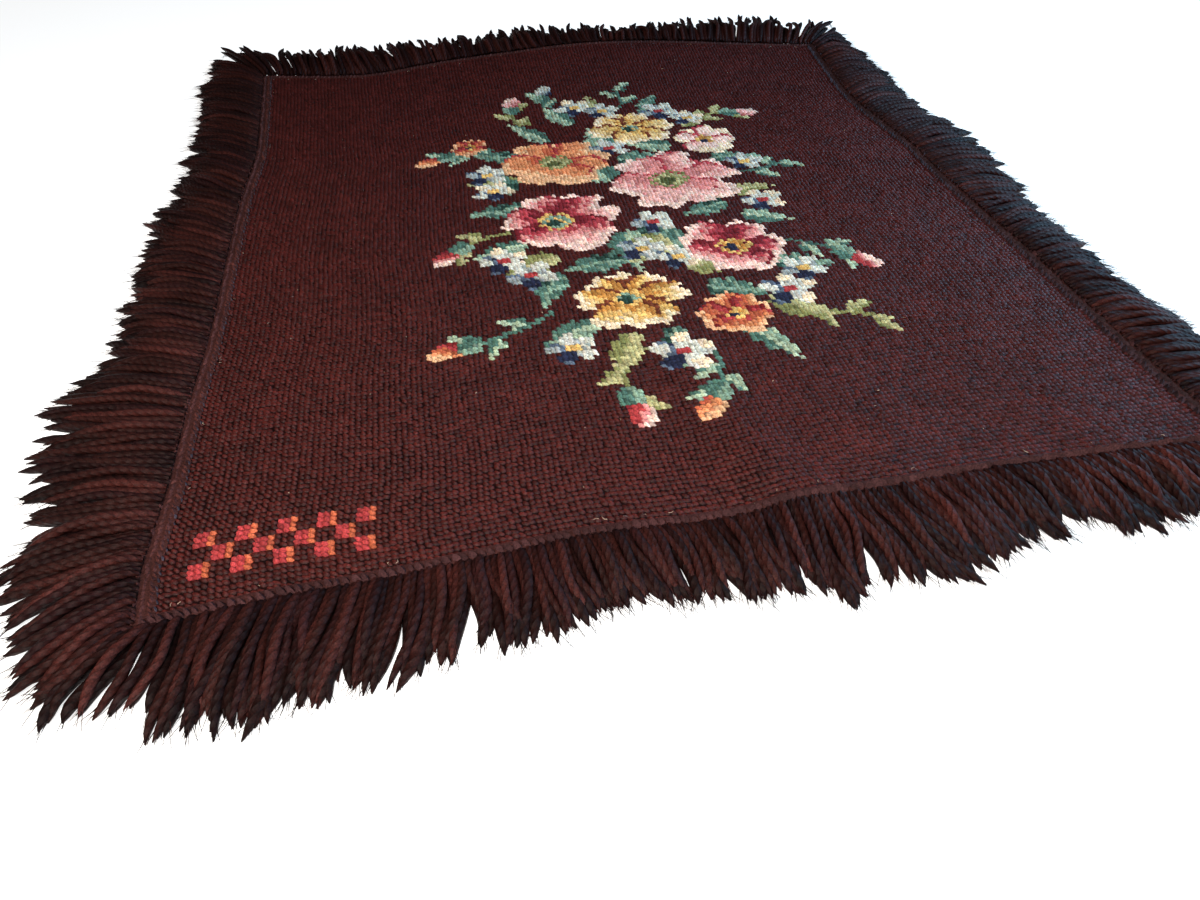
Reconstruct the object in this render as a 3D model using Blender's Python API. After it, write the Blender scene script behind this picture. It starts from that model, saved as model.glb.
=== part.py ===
"""A needlepoint canvas panel with a wool fringe along each of its four sides, lying flat.

Metres, +Z up, +Y to the back edge. The panel lies on z = 0 and the origin is under the
middle of the whole outline, fringe included.
"""

import math
import random

import bmesh
import bpy
from mathutils import Vector

# Worked canvas: wool cross stitch that covers the whole panel
STITCH = 0.0034
STITCHES_ACROSS = 175
STITCHES_DEEP = 203
PANEL_WIDTH = STITCH * STITCHES_ACROSS
PANEL_DEPTH = STITCH * STITCHES_DEEP
PANEL_THICKNESS = 0.0030
GRID_COLUMNS = 20
GRID_ROWS = 24

# Fringe: a narrow heading strip beside each edge, with locks of yarn hanging from it
GAP = 0.0003
END_CLEARANCE = 0.00025
HEADING_THICKNESS = 0.0036
LOCKS_PER_CELL = 3
CLUMP_SIZES = (3, 8)
USUAL_REACH = 0.055
CORNER_FAN = 0.085
MAX_HALF_WIDTH = 0.0072
TOP_TO_BASE = 0.62
SETTLE = 0.30
SEED = 57

# The panel's corners, each as its shift from a true rectangle
CORNER_SHIFT = {
    "front_left": (-0.0012, -0.0064),
    "front_right": (-0.0069, -0.0006),
    "back_left": (0.0012, -0.0005),
    "back_right": (0.0143, -0.0165),
}

# How far each edge bows out of the straight line between its corners
# columns: along the edge from 0 to 1, outward
EDGE_BOW = {
    "front": (
        (0.00, 0.0000), (0.05, -0.0018), (0.11, -0.0036), (0.19, -0.0026), (0.28, -0.0064),
        (0.36, -0.0090), (0.43, -0.0056), (0.50, -0.0042), (0.57, -0.0050), (0.65, -0.0038),
        (0.77, -0.0064), (0.90, -0.0010), (1.00, 0.0000),
    ),
    "right": (
        (0.00, 0.0000), (0.06, -0.0038), (0.20, -0.0057), (0.33, -0.0062), (0.44, -0.0124),
        (0.51, -0.0112), (0.58, -0.0080), (0.66, -0.0124), (0.76, -0.0182), (0.87, -0.0112),
        (1.00, 0.0000),
    ),
    "back": (
        (0.00, 0.0000), (0.09, -0.0100), (0.15, -0.0140), (0.21, -0.0095), (0.28, 0.0040),
        (0.36, 0.0105), (0.45, 0.0140), (0.53, 0.0195), (0.64, 0.0220), (0.76, 0.0205),
        (0.88, 0.0120), (1.00, 0.0000),
    ),
    "left": (
        (0.00, 0.0000), (0.04, 0.0022), (0.12, -0.0014), (0.21, -0.0018), (0.32, -0.0050),
        (0.50, -0.0048), (0.60, -0.0064), (0.70, -0.0102), (0.85, -0.0058), (1.00, 0.0000),
    ),
}

# Soft waves that lift the cloth off the surface; it lies flat where they die out
# columns: across 0 to 1, deep 0 to 1, half width across, half width deep, slant, rise
WAVES = (
    (0.57, 1.00, 0.25, 0.17, 0.00, 0.0095),
    (0.555, -0.02, 0.040, 0.20, -0.25, 0.0045),
    (0.645, -0.02, 0.105, 0.17, -0.20, 0.0050),
    (0.88, -0.02, 0.060, 0.10, 0.10, 0.0030),
    (0.22, -0.03, 0.090, 0.07, 0.00, 0.0025),
    (-0.02, 0.62, 0.060, 0.12, 0.00, 0.0025),
    (1.02, 0.45, 0.070, 0.09, 0.00, 0.0035),
)
WAVE_FLOOR = 0.0007

# Each side's heading width, how high its locks stand, their reach, and their lean along it
# columns of the reach tables: along the edge from 0 to 1, reach beyond the heading
# columns of the lean tables: along the edge from 0 to 1, lean per unit of reach
SIDES = {
    "front": {
        "heading": 0.0060, "loft": 1.15,
        "reach": (
            (0.00, 0.036), (0.025, 0.041), (0.045, 0.046), (0.06, 0.064), (0.10, 0.058),
            (0.16, 0.056), (0.22, 0.050), (0.31, 0.048), (0.345, 0.041), (0.43, 0.041),
            (0.47, 0.043), (0.52, 0.050), (0.58, 0.057), (0.63, 0.060), (0.68, 0.053),
            (0.76, 0.049), (0.80, 0.040), (0.83, 0.052), (0.92, 0.050), (0.97, 0.050),
            (1.00, 0.042),
        ),
        "lean": (
            (0.00, -0.22), (0.05, -0.20), (0.12, -0.12), (0.20, -0.12), (0.26, -0.22),
            (0.32, -0.05), (0.37, 0.20), (0.43, 0.20), (0.49, 0.08), (0.56, -0.14),
            (0.72, -0.08), (0.80, 0.10), (0.90, 0.20), (1.00, 0.30),
        ),
    },
    "right": {
        "heading": 0.0100, "loft": 1.20,
        "reach": (
            (0.00, 0.042), (0.04, 0.050), (0.16, 0.051), (0.20, 0.045), (0.30, 0.043),
            (0.36, 0.042), (0.42, 0.052), (0.50, 0.056), (0.55, 0.061), (0.60, 0.056),
            (0.71, 0.053), (0.79, 0.058), (0.87, 0.052), (0.96, 0.046), (1.00, 0.038),
        ),
        "lean": (
            (0.00, -0.20), (0.18, -0.16), (0.25, -0.10), (0.34, 0.15), (0.45, 0.00),
            (0.56, 0.10), (0.68, 0.25), (0.76, 0.42), (0.86, 0.20), (1.00, 0.20),
        ),
    },
    "back": {
        "heading": 0.0060, "loft": 1.85,
        "reach": (
            (0.00, 0.048), (0.03, 0.052), (0.08, 0.051), (0.13, 0.050), (0.18, 0.060),
            (0.215, 0.046), (0.26, 0.060), (0.32, 0.051), (0.40, 0.057), (0.47, 0.063),
            (0.54, 0.060), (0.60, 0.050), (0.64, 0.038), (0.69, 0.048), (0.77, 0.056),
            (0.84, 0.063), (0.92, 0.060), (0.97, 0.052), (1.00, 0.042),
        ),
        "lean": (
            (0.00, -0.45), (0.12, -0.40), (0.20, -0.32), (0.24, 0.02), (0.35, 0.00),
            (0.50, -0.04), (0.64, 0.05), (0.80, 0.05), (1.00, 0.25),
        ),
    },
    "left": {
        "heading": 0.0110, "loft": 1.15,
        "reach": (
            (0.00, 0.036), (0.03, 0.044), (0.06, 0.056), (0.10, 0.062), (0.18, 0.069),
            (0.24, 0.072), (0.27, 0.061), (0.30, 0.052), (0.35, 0.057), (0.42, 0.061),
            (0.50, 0.061), (0.55, 0.054), (0.62, 0.053), (0.68, 0.057), (0.76, 0.054),
            (0.88, 0.056), (0.97, 0.055), (1.00, 0.050),
        ),
        "lean": (
            (0.00, -0.30), (0.08, -0.26), (0.13, 0.06), (0.20, 0.12), (0.27, 0.22),
            (0.35, 0.32), (0.43, 0.48), (0.52, 0.66), (0.64, 0.74), (0.82, 0.72),
            (1.00, 0.55),
        ),
    },
}

# Shape of one lock, from its root at 0 to its tip at 1
# columns: way out, share of the width it fills, height
LOCK_SHAPE = (
    (0.00, 1.00, HEADING_THICKNESS),
    (0.26, 0.93, 0.0066),
    (0.54, 0.88, 0.0060),
    (0.82, 0.62, 0.0042),
    (1.00, 0.12, 0.0012),
)

# Colours, linear
DARK_BROWN = (0.036, 0.013, 0.012, 1.0)
FRINGE_BROWN = (0.022, 0.009, 0.010, 1.0)


def clear_scene():
    """Remove whatever the file opened with."""
    for item in list(bpy.data.objects):
        bpy.data.objects.remove(item, do_unlink=True)


def smooth_lookup(table, place):
    """Read a smooth curve through the first two columns of a table."""
    last = len(table) - 1
    step = 0
    while step < last - 1 and place > table[step + 1][0]:
        step += 1
    start, end = table[step], table[step + 1]
    before, after = table[max(step - 1, 0)], table[min(step + 2, last)]
    span = end[0] - start[0]
    share = min(max((place - start[0]) / span, 0.0), 1.0)
    slope_in = (end[1] - before[1]) / (end[0] - before[0]) * span
    slope_out = (after[1] - start[1]) / (after[0] - start[0]) * span
    square, cube = share**2, share**3
    return (
        (2 * cube - 3 * square + 1) * start[1]
        + (cube - 2 * square + share) * slope_in
        + (3 * square - 2 * cube) * end[1]
        + (cube - square) * slope_out
    )


def corner(name):
    """A corner of the panel, before the part is centred."""
    shift = CORNER_SHIFT[name]
    side_x = 1 if name.endswith("right") else -1
    side_y = 1 if name.startswith("back") else -1
    return Vector((side_x * PANEL_WIDTH / 2 + shift[0], side_y * PANEL_DEPTH / 2 + shift[1]))


def side_ends(side):
    """The two corners that a side runs between: left to right, or front to back."""
    if side in ("front", "back"):
        return corner(side + "_left"), corner(side + "_right")
    return corner("front_" + side), corner("back_" + side)


def outward(side, direction):
    """The outward unit normal of a stretch of a side, in plan."""
    turned = Vector((direction.y, -direction.x)).normalized()
    return turned if side in ("front", "right") else -turned


def edge_point(side, along):
    """A point on one edge of the panel, in plan."""
    start, end = side_ends(side)
    bow = smooth_lookup(EDGE_BOW[side], along)
    return start.lerp(end, along) + outward(side, end - start) * bow


def panel_point(across, deep):
    """A point of the panel in plan, blended from its four edges."""
    front, back = edge_point("front", across), edge_point("back", across)
    left, right = edge_point("left", deep), edge_point("right", deep)
    near = corner("front_left").lerp(corner("front_right"), across)
    far = corner("back_left").lerp(corner("back_right"), across)
    return front.lerp(back, deep) + left.lerp(right, across) - near.lerp(far, deep)


def lift(across, deep):
    """Height of the panel's underside above the surface it lies on."""
    total = -WAVE_FLOOR
    for wave_across, wave_deep, wide, long, slant, rise in WAVES:
        offset = across - wave_across - slant * (deep - wave_deep)
        total += rise * math.exp(-((offset / wide) ** 2) - ((deep - wave_deep) / long) ** 2)
    return max(total, 0.0)


def make_material(name, colour, roughness):
    """A plain matt wool material."""
    material = bpy.data.materials.new(name)
    material.use_nodes = True
    shader = material.node_tree.nodes["Principled BSDF"]
    shader.inputs["Base Color"].default_value = colour
    shader.inputs["Roughness"].default_value = roughness
    shader.inputs["Metallic"].default_value = 0.0
    material.diffuse_color = colour
    return material


def add_object(name, mesh, material):
    """Close a mesh with outward faces, shade it smooth and link it as one object."""
    work = bmesh.new()
    work.from_mesh(mesh)
    bmesh.ops.recalc_face_normals(work, faces=work.faces)
    work.to_mesh(mesh)
    work.free()
    mesh.materials.append(material)
    mesh.shade_smooth()
    mesh.set_sharp_from_angle(angle=math.radians(50))
    item = bpy.data.objects.new(name, mesh)
    bpy.context.scene.collection.objects.link(item)
    return item


def make_panel(material):
    """The worked canvas: one sheet over a grid of points, thickened upward."""
    work = bmesh.new()
    rows = []
    for row in range(GRID_ROWS + 1):
        deep = row / GRID_ROWS
        line = []
        for column in range(GRID_COLUMNS + 1):
            across = column / GRID_COLUMNS
            plan = panel_point(across, deep)
            line.append(work.verts.new((plan.x, plan.y, lift(across, deep))))
        rows.append(line)
    for near, far in zip(rows, rows[1:]):
        for column in range(GRID_COLUMNS):
            work.faces.new((near[column], near[column + 1], far[column + 1], far[column]))
    sheet = bmesh.ops.extrude_face_region(work, geom=list(work.faces), use_keep_orig=True)
    top = [item for item in sheet["geom"] if isinstance(item, bmesh.types.BMVert)]
    bmesh.ops.translate(work, verts=top, vec=(0.0, 0.0, PANEL_THICKNESS))
    mesh = bpy.data.meshes.new("canvas_panel")
    work.to_mesh(mesh)
    work.free()
    return add_object("canvas_panel", mesh, material)


def cells_along(side):
    """Number of the panel's grid cells along a side."""
    return GRID_COLUMNS if side in ("front", "back") else GRID_ROWS


def grid_place(side, along):
    """Across and deep of a point on a side."""
    return {
        "front": (along, 0.0),
        "back": (along, 1.0),
        "left": (0.0, along),
        "right": (1.0, along),
    }[side]


def edge_chords(side):
    """The grid points along a side and the outward normal of each chord between them."""
    count = cells_along(side)
    points = [panel_point(*grid_place(side, index / count)) for index in range(count + 1)]
    normals = [outward(side, end - start) for start, end in zip(points, points[1:])]
    return points, normals


def meet(point, normal_a, distance_a, normal_b, distance_b):
    """The point that lies at two distances outside two edges through one point."""
    determinant = normal_a.x * normal_b.y - normal_a.y * normal_b.x
    x = (distance_a * normal_b.y - distance_b * normal_a.y) / determinant
    y = (distance_b * normal_a.x - distance_a * normal_b.x) / determinant
    return point + Vector((x, y))


def neighbour(side, at_end):
    """The side that meets this one at its start or end, and which of its ends meets."""
    if side in ("front", "back"):
        return ("right" if at_end else "left"), side == "back"
    return ("back" if at_end else "front"), side == "right"


def offset_line(side, distances):
    """A side's chords moved outward and mitred with the two sides beside it."""
    points, normals = edge_chords(side)
    own = distances[side]
    moved = []
    for index, point in enumerate(points):
        if 0 < index < len(points) - 1:
            before, after = normals[index - 1], normals[index]
            middle = (before + after).normalized()
            moved.append(point + middle * (own / middle.dot(after)))
            continue
        other, other_end = neighbour(side, index > 0)
        other_normals = edge_chords(other)[1]
        other_normal = other_normals[-1] if other_end else other_normals[0]
        normal = normals[-1] if index > 0 else normals[0]
        moved.append(meet(point, normal, own, other_normal, distances[other]))
    direction = (moved[1] - moved[0]).normalized()
    moved[0] = moved[0] + direction * END_CLEARANCE
    direction = (moved[-1] - moved[-2]).normalized()
    moved[-1] = moved[-1] - direction * END_CLEARANCE
    return moved


def split_line(points):
    """Divide each chord into the locks that it carries."""
    fine = []
    for start, end in zip(points, points[1:]):
        fine += [start.lerp(end, step / LOCKS_PER_CELL) for step in range(LOCKS_PER_CELL)]
    return fine + [points[-1]]


def corner_lean(side, at_end):
    """The lean that runs along the line which halves a corner."""
    points, normals = edge_chords(side)
    other, other_end = neighbour(side, at_end)
    other_normals = edge_chords(other)[1]
    other_normal = other_normals[-1] if other_end else other_normals[0]
    normal = normals[-1] if at_end else normals[0]
    direction = points[-1] - points[-2] if at_end else points[1] - points[0]
    direction.normalize()
    return (1.0 - normal.dot(other_normal)) / direction.dot(other_normal)


def lean_at(side, along):
    """Lean of the fringe at a place on its side, fanning out towards the corners."""
    fan_start = max(0.0, 1.0 - along / CORNER_FAN) ** 1.5
    fan_end = max(0.0, 1.0 - (1.0 - along) / CORNER_FAN) ** 1.5
    usual = smooth_lookup(SIDES[side]["lean"], along)
    fan = corner_lean(side, False) * fan_start + corner_lean(side, True) * fan_end
    return usual * (1.0 - fan_start - fan_end) + 0.98 * fan


class Wall:
    """The outer wall of a heading strip, as a scale along which locks are placed."""

    def __init__(self, side, line):
        self.line = line
        self.places = [0.0]
        for start, end in zip(line, line[1:]):
            self.places.append(self.places[-1] + (end - start).length)
        self.length = self.places[-1]
        self.normals = [outward(side, end - start) for start, end in zip(line, line[1:])]

    def chord(self, place):
        """Index of the chord that holds a place along the wall."""
        index = 0
        while index < len(self.normals) - 1 and place > self.places[index + 1]:
            index += 1
        return index

    def normal(self, place):
        """Outward normal, turning evenly from the middle of one chord to the next."""
        index = self.chord(place)
        middle = (self.places[index] + self.places[index + 1]) / 2
        other = min(max(index + (1 if place > middle else -1), 0), len(self.normals) - 1)
        if other == index:
            return self.normals[index]
        far = (self.places[other] + self.places[other + 1]) / 2
        share = (place - middle) / (far - middle)
        return self.normals[index].lerp(self.normals[other], share).normalized()

    def point(self, place, distance):
        """A point in plan at a distance outside a place along the wall."""
        index = self.chord(place)
        start, end = self.line[index], self.line[index + 1]
        share = (place - self.places[index]) / (end - start).length
        return start.lerp(end, share) + self.normal(place) * distance


def make_clumps(count, chance):
    """Groups of neighbouring locks whose tips draw together."""
    clumps = []
    first = 0
    while first < count:
        size = min(chance.randint(*CLUMP_SIZES), count - first)
        at_corner = first == 0 or first + size == count
        clumps.append({
            "first": first,
            "last": first + size,
            "squeeze": 0.06 if at_corner else chance.uniform(0.05, 0.24),
            "drift": 0.0 if at_corner else chance.uniform(-0.75, 0.75),
            "reach": chance.uniform(0.95, 1.05),
        })
        first += size
    return clumps


def bent_place(side, wall, clump, place, distance):
    """Where a strand that starts at one place along the wall has moved to, further out."""
    share = min(distance / USUAL_REACH, 1.3) ** 2
    middle = (clump["start"] + clump["end"]) / 2
    half = (clump["end"] - clump["start"]) / 2
    moved = place + lean_at(side, place / wall.length) * distance
    moved_middle = middle + lean_at(side, middle / wall.length) * distance
    pull = clump["squeeze"] * share
    return moved_middle + (moved - moved_middle) * (1.0 - pull) + clump["drift"] * half * pull


def lock_rings(side, wall, clump, start, end, base, reach, plump):
    """The cross sections of one lock past its root: four points each, base first."""
    rings = []
    for way, fill, height in LOCK_SHAPE[1:]:
        distance = reach * way
        left = bent_place(side, wall, clump, start, distance)
        right = bent_place(side, wall, clump, end, distance)
        middle = (left + right) / 2
        half = min((right - left) / 2 * fill, MAX_HALF_WIDTH)
        bottom = base * max(0.0, 1.0 - way / SETTLE) ** 2
        ring = []
        for offset, z in (
            (-half, bottom),
            (half, bottom),
            (half * TOP_TO_BASE, bottom + height * plump),
            (-half * TOP_TO_BASE, bottom + height * plump),
        ):
            plan = wall.point(middle + offset, distance)
            ring.append((plan.x, plan.y, z))
        rings.append(ring)
    return rings


def heading_strip(side, inner, outer):
    """Corner points of the heading strip, four at each lock's edge, and its own faces."""
    verts = []
    faces = []
    count = len(inner) - 1
    for index in range(count + 1):
        base = heading_height(side, index, count)
        for plan, z in ((inner[index], base), (outer[index], base)):
            verts.append((plan.x, plan.y, z))
        for plan in (outer[index], inner[index]):
            verts.append((plan.x, plan.y, base + HEADING_THICKNESS))
    for index in range(count):
        here, there = 4 * index, 4 * index + 4
        faces.append((here, here + 1, there + 1, there))
        faces.append((here + 3, there + 3, there + 2, here + 2))
        faces.append((here, there, there + 3, here + 3))
    faces.append((0, 3, 2, 1))
    faces.append(tuple(4 * count + corner_index for corner_index in range(4)))
    return verts, faces


def heading_height(side, index, count):
    """Height of the strip's underside beside the panel, even along each grid chord."""
    cell = min(index // LOCKS_PER_CELL, cells_along(side) - 1)
    share = (index - cell * LOCKS_PER_CELL) / LOCKS_PER_CELL
    start = lift(*grid_place(side, cell / cells_along(side)))
    end = lift(*grid_place(side, (cell + 1) / cells_along(side)))
    return start + (end - start) * share


def make_fringe(side, material, chance):
    """One side's heading strip with its row of yarn locks, as one solid."""
    headings = {name: GAP + values["heading"] for name, values in SIDES.items()}
    inner = split_line(offset_line(side, dict.fromkeys(SIDES, GAP)))
    outer = split_line(offset_line(side, headings))
    verts, faces = heading_strip(side, inner, outer)
    wall = Wall(side, outer)
    count = len(outer) - 1
    for clump in make_clumps(count, chance):
        clump["start"] = wall.places[clump["first"]]
        clump["end"] = wall.places[clump["last"]]
        size = clump["last"] - clump["first"]
        for index in range(clump["first"], clump["last"]):
            place = (index - clump["first"] + 0.5) / size
            arc = 1.0 - 0.28 * (place - 0.5) ** 2
            middle = (wall.places[index] + wall.places[index + 1]) / 2 / wall.length
            reach = smooth_lookup(SIDES[side]["reach"], middle) * clump["reach"] * arc
            reach *= chance.uniform(0.95, 1.03)
            plump = SIDES[side]["loft"] * chance.uniform(0.88, 1.12)
            base = heading_height(side, index + 0.5, count)
            rings = lock_rings(
                side, wall, clump, wall.places[index], wall.places[index + 1], base, reach, plump
            )
            here, there = 4 * index, 4 * index + 4
            ring = (here + 1, there + 1, there + 2, here + 2)
            for points in rings:
                following = tuple(range(len(verts), len(verts) + 4))
                verts += points
                for step in range(4):
                    after = (step + 1) % 4
                    faces.append((ring[step], ring[after], following[after], following[step]))
                ring = following
            faces.append(ring)
    mesh = bpy.data.meshes.new("fringe_" + side)
    mesh.from_pydata(verts, [], faces)
    return add_object("fringe_" + side, mesh, material)


def centre_part(items):
    """Move the whole part so that its outline is centred on the origin."""
    xs = [vertex.co.x for item in items for vertex in item.data.vertices]
    ys = [vertex.co.y for item in items for vertex in item.data.vertices]
    for item in items:
        item.location.x = -(min(xs) + max(xs)) / 2
        item.location.y = -(min(ys) + max(ys)) / 2


def build():
    """Make the panel and its four fringes."""
    clear_scene()
    chance = random.Random(SEED)
    items = [make_panel(make_material("worked_wool", DARK_BROWN, 0.9))]
    fringe_wool = make_material("fringe_wool", FRINGE_BROWN, 0.85)
    for side in SIDES:
        items.append(make_fringe(side, fringe_wool, chance))
    centre_part(items)


build()
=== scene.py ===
import math
import random

import bpy
import numpy as np
from mathutils import Matrix, Vector


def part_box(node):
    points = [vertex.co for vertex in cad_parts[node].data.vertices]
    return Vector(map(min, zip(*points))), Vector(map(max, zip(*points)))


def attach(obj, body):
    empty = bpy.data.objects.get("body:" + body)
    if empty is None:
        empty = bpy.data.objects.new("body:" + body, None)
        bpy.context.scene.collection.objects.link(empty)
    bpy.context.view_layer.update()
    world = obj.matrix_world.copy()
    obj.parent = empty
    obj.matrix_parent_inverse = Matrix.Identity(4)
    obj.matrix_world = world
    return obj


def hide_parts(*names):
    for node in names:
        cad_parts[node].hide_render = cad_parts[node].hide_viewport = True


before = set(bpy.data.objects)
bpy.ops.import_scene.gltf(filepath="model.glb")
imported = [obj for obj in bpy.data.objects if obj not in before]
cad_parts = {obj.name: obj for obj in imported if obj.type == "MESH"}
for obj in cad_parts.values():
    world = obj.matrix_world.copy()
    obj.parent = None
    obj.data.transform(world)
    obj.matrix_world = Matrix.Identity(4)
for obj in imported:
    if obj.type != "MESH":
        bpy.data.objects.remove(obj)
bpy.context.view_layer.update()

# Canvas
# The panel is one piece of double thread canvas, turned under at its edges and lying flat on a
# surface, with soft waves at the middle of the back and right of the middle in front.
# All of its face is covered with wool; its back shows the yarns that cross from hole to hole.
STITCH = 0.0034
STITCHES_ACROSS = 175
STITCHES_DEEP = 203
PANEL_WIDTH = STITCH * STITCHES_ACROSS
PANEL_DEPTH = STITCH * STITCHES_DEEP
CANVAS_THICKNESS = 0.0011
CAD_COLUMNS = 20
CAD_ROWS = 24
CANVAS_COLUMNS = 74
CANVAS_ROWS = 80

CORNER_SHIFT = {
    "front_left": (-0.0012, -0.0064),
    "front_right": (-0.0069, -0.0006),
    "back_left": (0.0012, -0.0005),
    "back_right": (0.0143, -0.0165),
}

# columns: along the edge from 0 to 1, outward
EDGE_BOW = {
    "front": (
        (0.00, 0.0000), (0.05, -0.0018), (0.11, -0.0036), (0.19, -0.0026), (0.28, -0.0064),
        (0.36, -0.0090), (0.43, -0.0056), (0.50, -0.0042), (0.57, -0.0050), (0.65, -0.0038),
        (0.77, -0.0064), (0.90, -0.0010), (1.00, 0.0000),
    ),
    "right": (
        (0.00, 0.0000), (0.06, -0.0038), (0.20, -0.0057), (0.33, -0.0062), (0.44, -0.0124),
        (0.51, -0.0112), (0.58, -0.0080), (0.66, -0.0124), (0.76, -0.0182), (0.87, -0.0112),
        (1.00, 0.0000),
    ),
    "back": (
        (0.00, 0.0000), (0.09, -0.0100), (0.15, -0.0140), (0.21, -0.0095), (0.28, 0.0040),
        (0.36, 0.0105), (0.45, 0.0140), (0.53, 0.0195), (0.64, 0.0220), (0.76, 0.0205),
        (0.88, 0.0120), (1.00, 0.0000),
    ),
    "left": (
        (0.00, 0.0000), (0.04, 0.0022), (0.12, -0.0014), (0.21, -0.0018), (0.32, -0.0050),
        (0.50, -0.0048), (0.60, -0.0064), (0.70, -0.0102), (0.85, -0.0058), (1.00, 0.0000),
    ),
}

# columns: across 0 to 1, deep 0 to 1, half width across, half width deep, slant, rise
WAVES = (
    (0.57, 1.00, 0.25, 0.17, 0.00, 0.0095),
    (0.555, -0.02, 0.040, 0.20, -0.25, 0.0045),
    (0.645, -0.02, 0.105, 0.17, -0.20, 0.0050),
    (0.88, -0.02, 0.060, 0.10, 0.10, 0.0030),
    (0.22, -0.03, 0.090, 0.07, 0.00, 0.0025),
    (-0.02, 0.62, 0.060, 0.12, 0.00, 0.0025),
    (1.02, 0.45, 0.070, 0.09, 0.00, 0.0035),
)
WAVE_FLOOR = 0.0007


def smooth_lookup(table, place):
    """Read a smooth curve through the first two columns of a table, at many places."""
    rows = np.array([row[:2] for row in table])
    step = np.clip(np.searchsorted(rows[:, 0], place, side="left") - 1, 0, len(rows) - 2)
    start, end = rows[step], rows[step + 1]
    before, after = rows[np.maximum(step - 1, 0)], rows[np.minimum(step + 2, len(rows) - 1)]
    span = end[..., 0] - start[..., 0]
    share = np.clip((place - start[..., 0]) / span, 0.0, 1.0)
    slope_in = (end[..., 1] - before[..., 1]) / (end[..., 0] - before[..., 0]) * span
    slope_out = (after[..., 1] - start[..., 1]) / (after[..., 0] - start[..., 0]) * span
    square, cube = share**2, share**3
    return (
        (2 * cube - 3 * square + 1) * start[..., 1]
        + (cube - 2 * square + share) * slope_in
        + (3 * square - 2 * cube) * end[..., 1]
        + (cube - square) * slope_out
    )


def mix(start, end, share):
    """Blend two points, or rows of points, by a share or a row of shares."""
    share = np.asarray(share)[..., None]
    return start * (1.0 - share) + end * share


def corner(name):
    shift = np.array(CORNER_SHIFT[name])
    side_x = 1 if name.endswith("right") else -1
    side_y = 1 if name.startswith("back") else -1
    return np.array((side_x * PANEL_WIDTH / 2, side_y * PANEL_DEPTH / 2)) + shift


def side_ends(side):
    if side in ("front", "back"):
        return corner(side + "_left"), corner(side + "_right")
    return corner("front_" + side), corner("back_" + side)


def outward(side, direction):
    """The outward unit normals of stretches of a side, in plan."""
    turned = np.stack((direction[..., 1], -direction[..., 0]), axis=-1)
    turned = turned / np.linalg.norm(turned, axis=-1, keepdims=True)
    return turned if side in ("front", "right") else -turned


def edge_point(side, along):
    start, end = side_ends(side)
    bow = smooth_lookup(EDGE_BOW[side], along)
    return mix(start, end, along) + outward(side, end - start) * bow[..., None]


def raw_plan(across, deep):
    """Points of the panel in plan, blended from its four edges, before it is centred."""
    across, deep = np.broadcast_arrays(np.asarray(across, float), np.asarray(deep, float))
    sides = mix(edge_point("front", across), edge_point("back", across), deep)
    ends = mix(edge_point("left", deep), edge_point("right", deep), across)
    near = mix(corner("front_left"), corner("front_right"), across)
    far = mix(corner("back_left"), corner("back_right"), across)
    return sides + ends - mix(near, far, deep)


def lift(across, deep):
    """Height of the canvas's underside above the surface."""
    total = np.full(np.broadcast(across, deep).shape, -WAVE_FLOOR)
    for wave_across, wave_deep, wide, long, slant, rise in WAVES:
        offset = across - wave_across - slant * (deep - wave_deep)
        total = total + rise * np.exp(-((offset / wide) ** 2) - ((deep - wave_deep) / long) ** 2)
    return np.maximum(total, 0.0)


cad_grid = raw_plan(*np.meshgrid(np.linspace(0, 1, CAD_COLUMNS + 1), np.linspace(0, 1, CAD_ROWS + 1)))
cad_low, cad_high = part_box("canvas_panel")
CENTRING = np.array((cad_low + cad_high)[:2]) / 2 - (
    cad_grid.reshape(-1, 2).min(0) + cad_grid.reshape(-1, 2).max(0)
) / 2


def cloth_point(across, deep, height):
    """Points of the cloth in the shared frame, at a height above its underside."""
    plan = raw_plan(across, deep) + CENTRING
    return np.concatenate((plan, (lift(across, deep) + height)[..., None]), axis=-1)


def add_mesh(name, points, polygons):
    """A smooth object from rows of points and faces with equal numbers of corners."""
    points, polygons = np.asarray(points, np.float32), np.asarray(polygons, np.int32)
    mesh = bpy.data.meshes.new(name)
    mesh.vertices.add(len(points))
    mesh.vertices.foreach_set("co", points.ravel())
    mesh.loops.add(polygons.size)
    mesh.loops.foreach_set("vertex_index", polygons.ravel())
    mesh.polygons.add(len(polygons))
    mesh.polygons.foreach_set("loop_start", np.arange(len(polygons)) * polygons.shape[1])
    mesh.update(calc_edges=True)
    mesh.validate()
    mesh.shade_smooth()
    item = bpy.data.objects.new(name, mesh)
    bpy.context.scene.collection.objects.link(item)
    return item


def plan_uv(item):
    """A bake map that looks straight down on a piece and fills the square."""
    mesh = item.data
    points = np.zeros(len(mesh.vertices) * 3, np.float32)
    mesh.vertices.foreach_get("co", points)
    plan = points.reshape(-1, 3)[:, :2]
    corners = np.zeros(len(mesh.loops), np.int32)
    mesh.loops.foreach_get("vertex_index", corners)
    share = (plan[corners] - plan.min(0)) / (plan.max(0) - plan.min(0))
    mesh.uv_layers.new(name="OFBake").data.foreach_set("uv", share.ravel())


def linear(red, green, blue):
    """A colour mixed as red, green and blue out of 255, as the shaders take it."""
    values = np.array((red, green, blue)) / 255.0
    return np.where(values > 0.04045, ((values + 0.055) / 1.055) ** 2.4, values / 12.92)


def new_material(name):
    """A material, its node tree and its bare shader."""
    material = bpy.data.materials.new(name)
    material.use_nodes = True
    tree = material.node_tree
    return material, tree, tree.nodes["Principled BSDF"]


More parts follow.
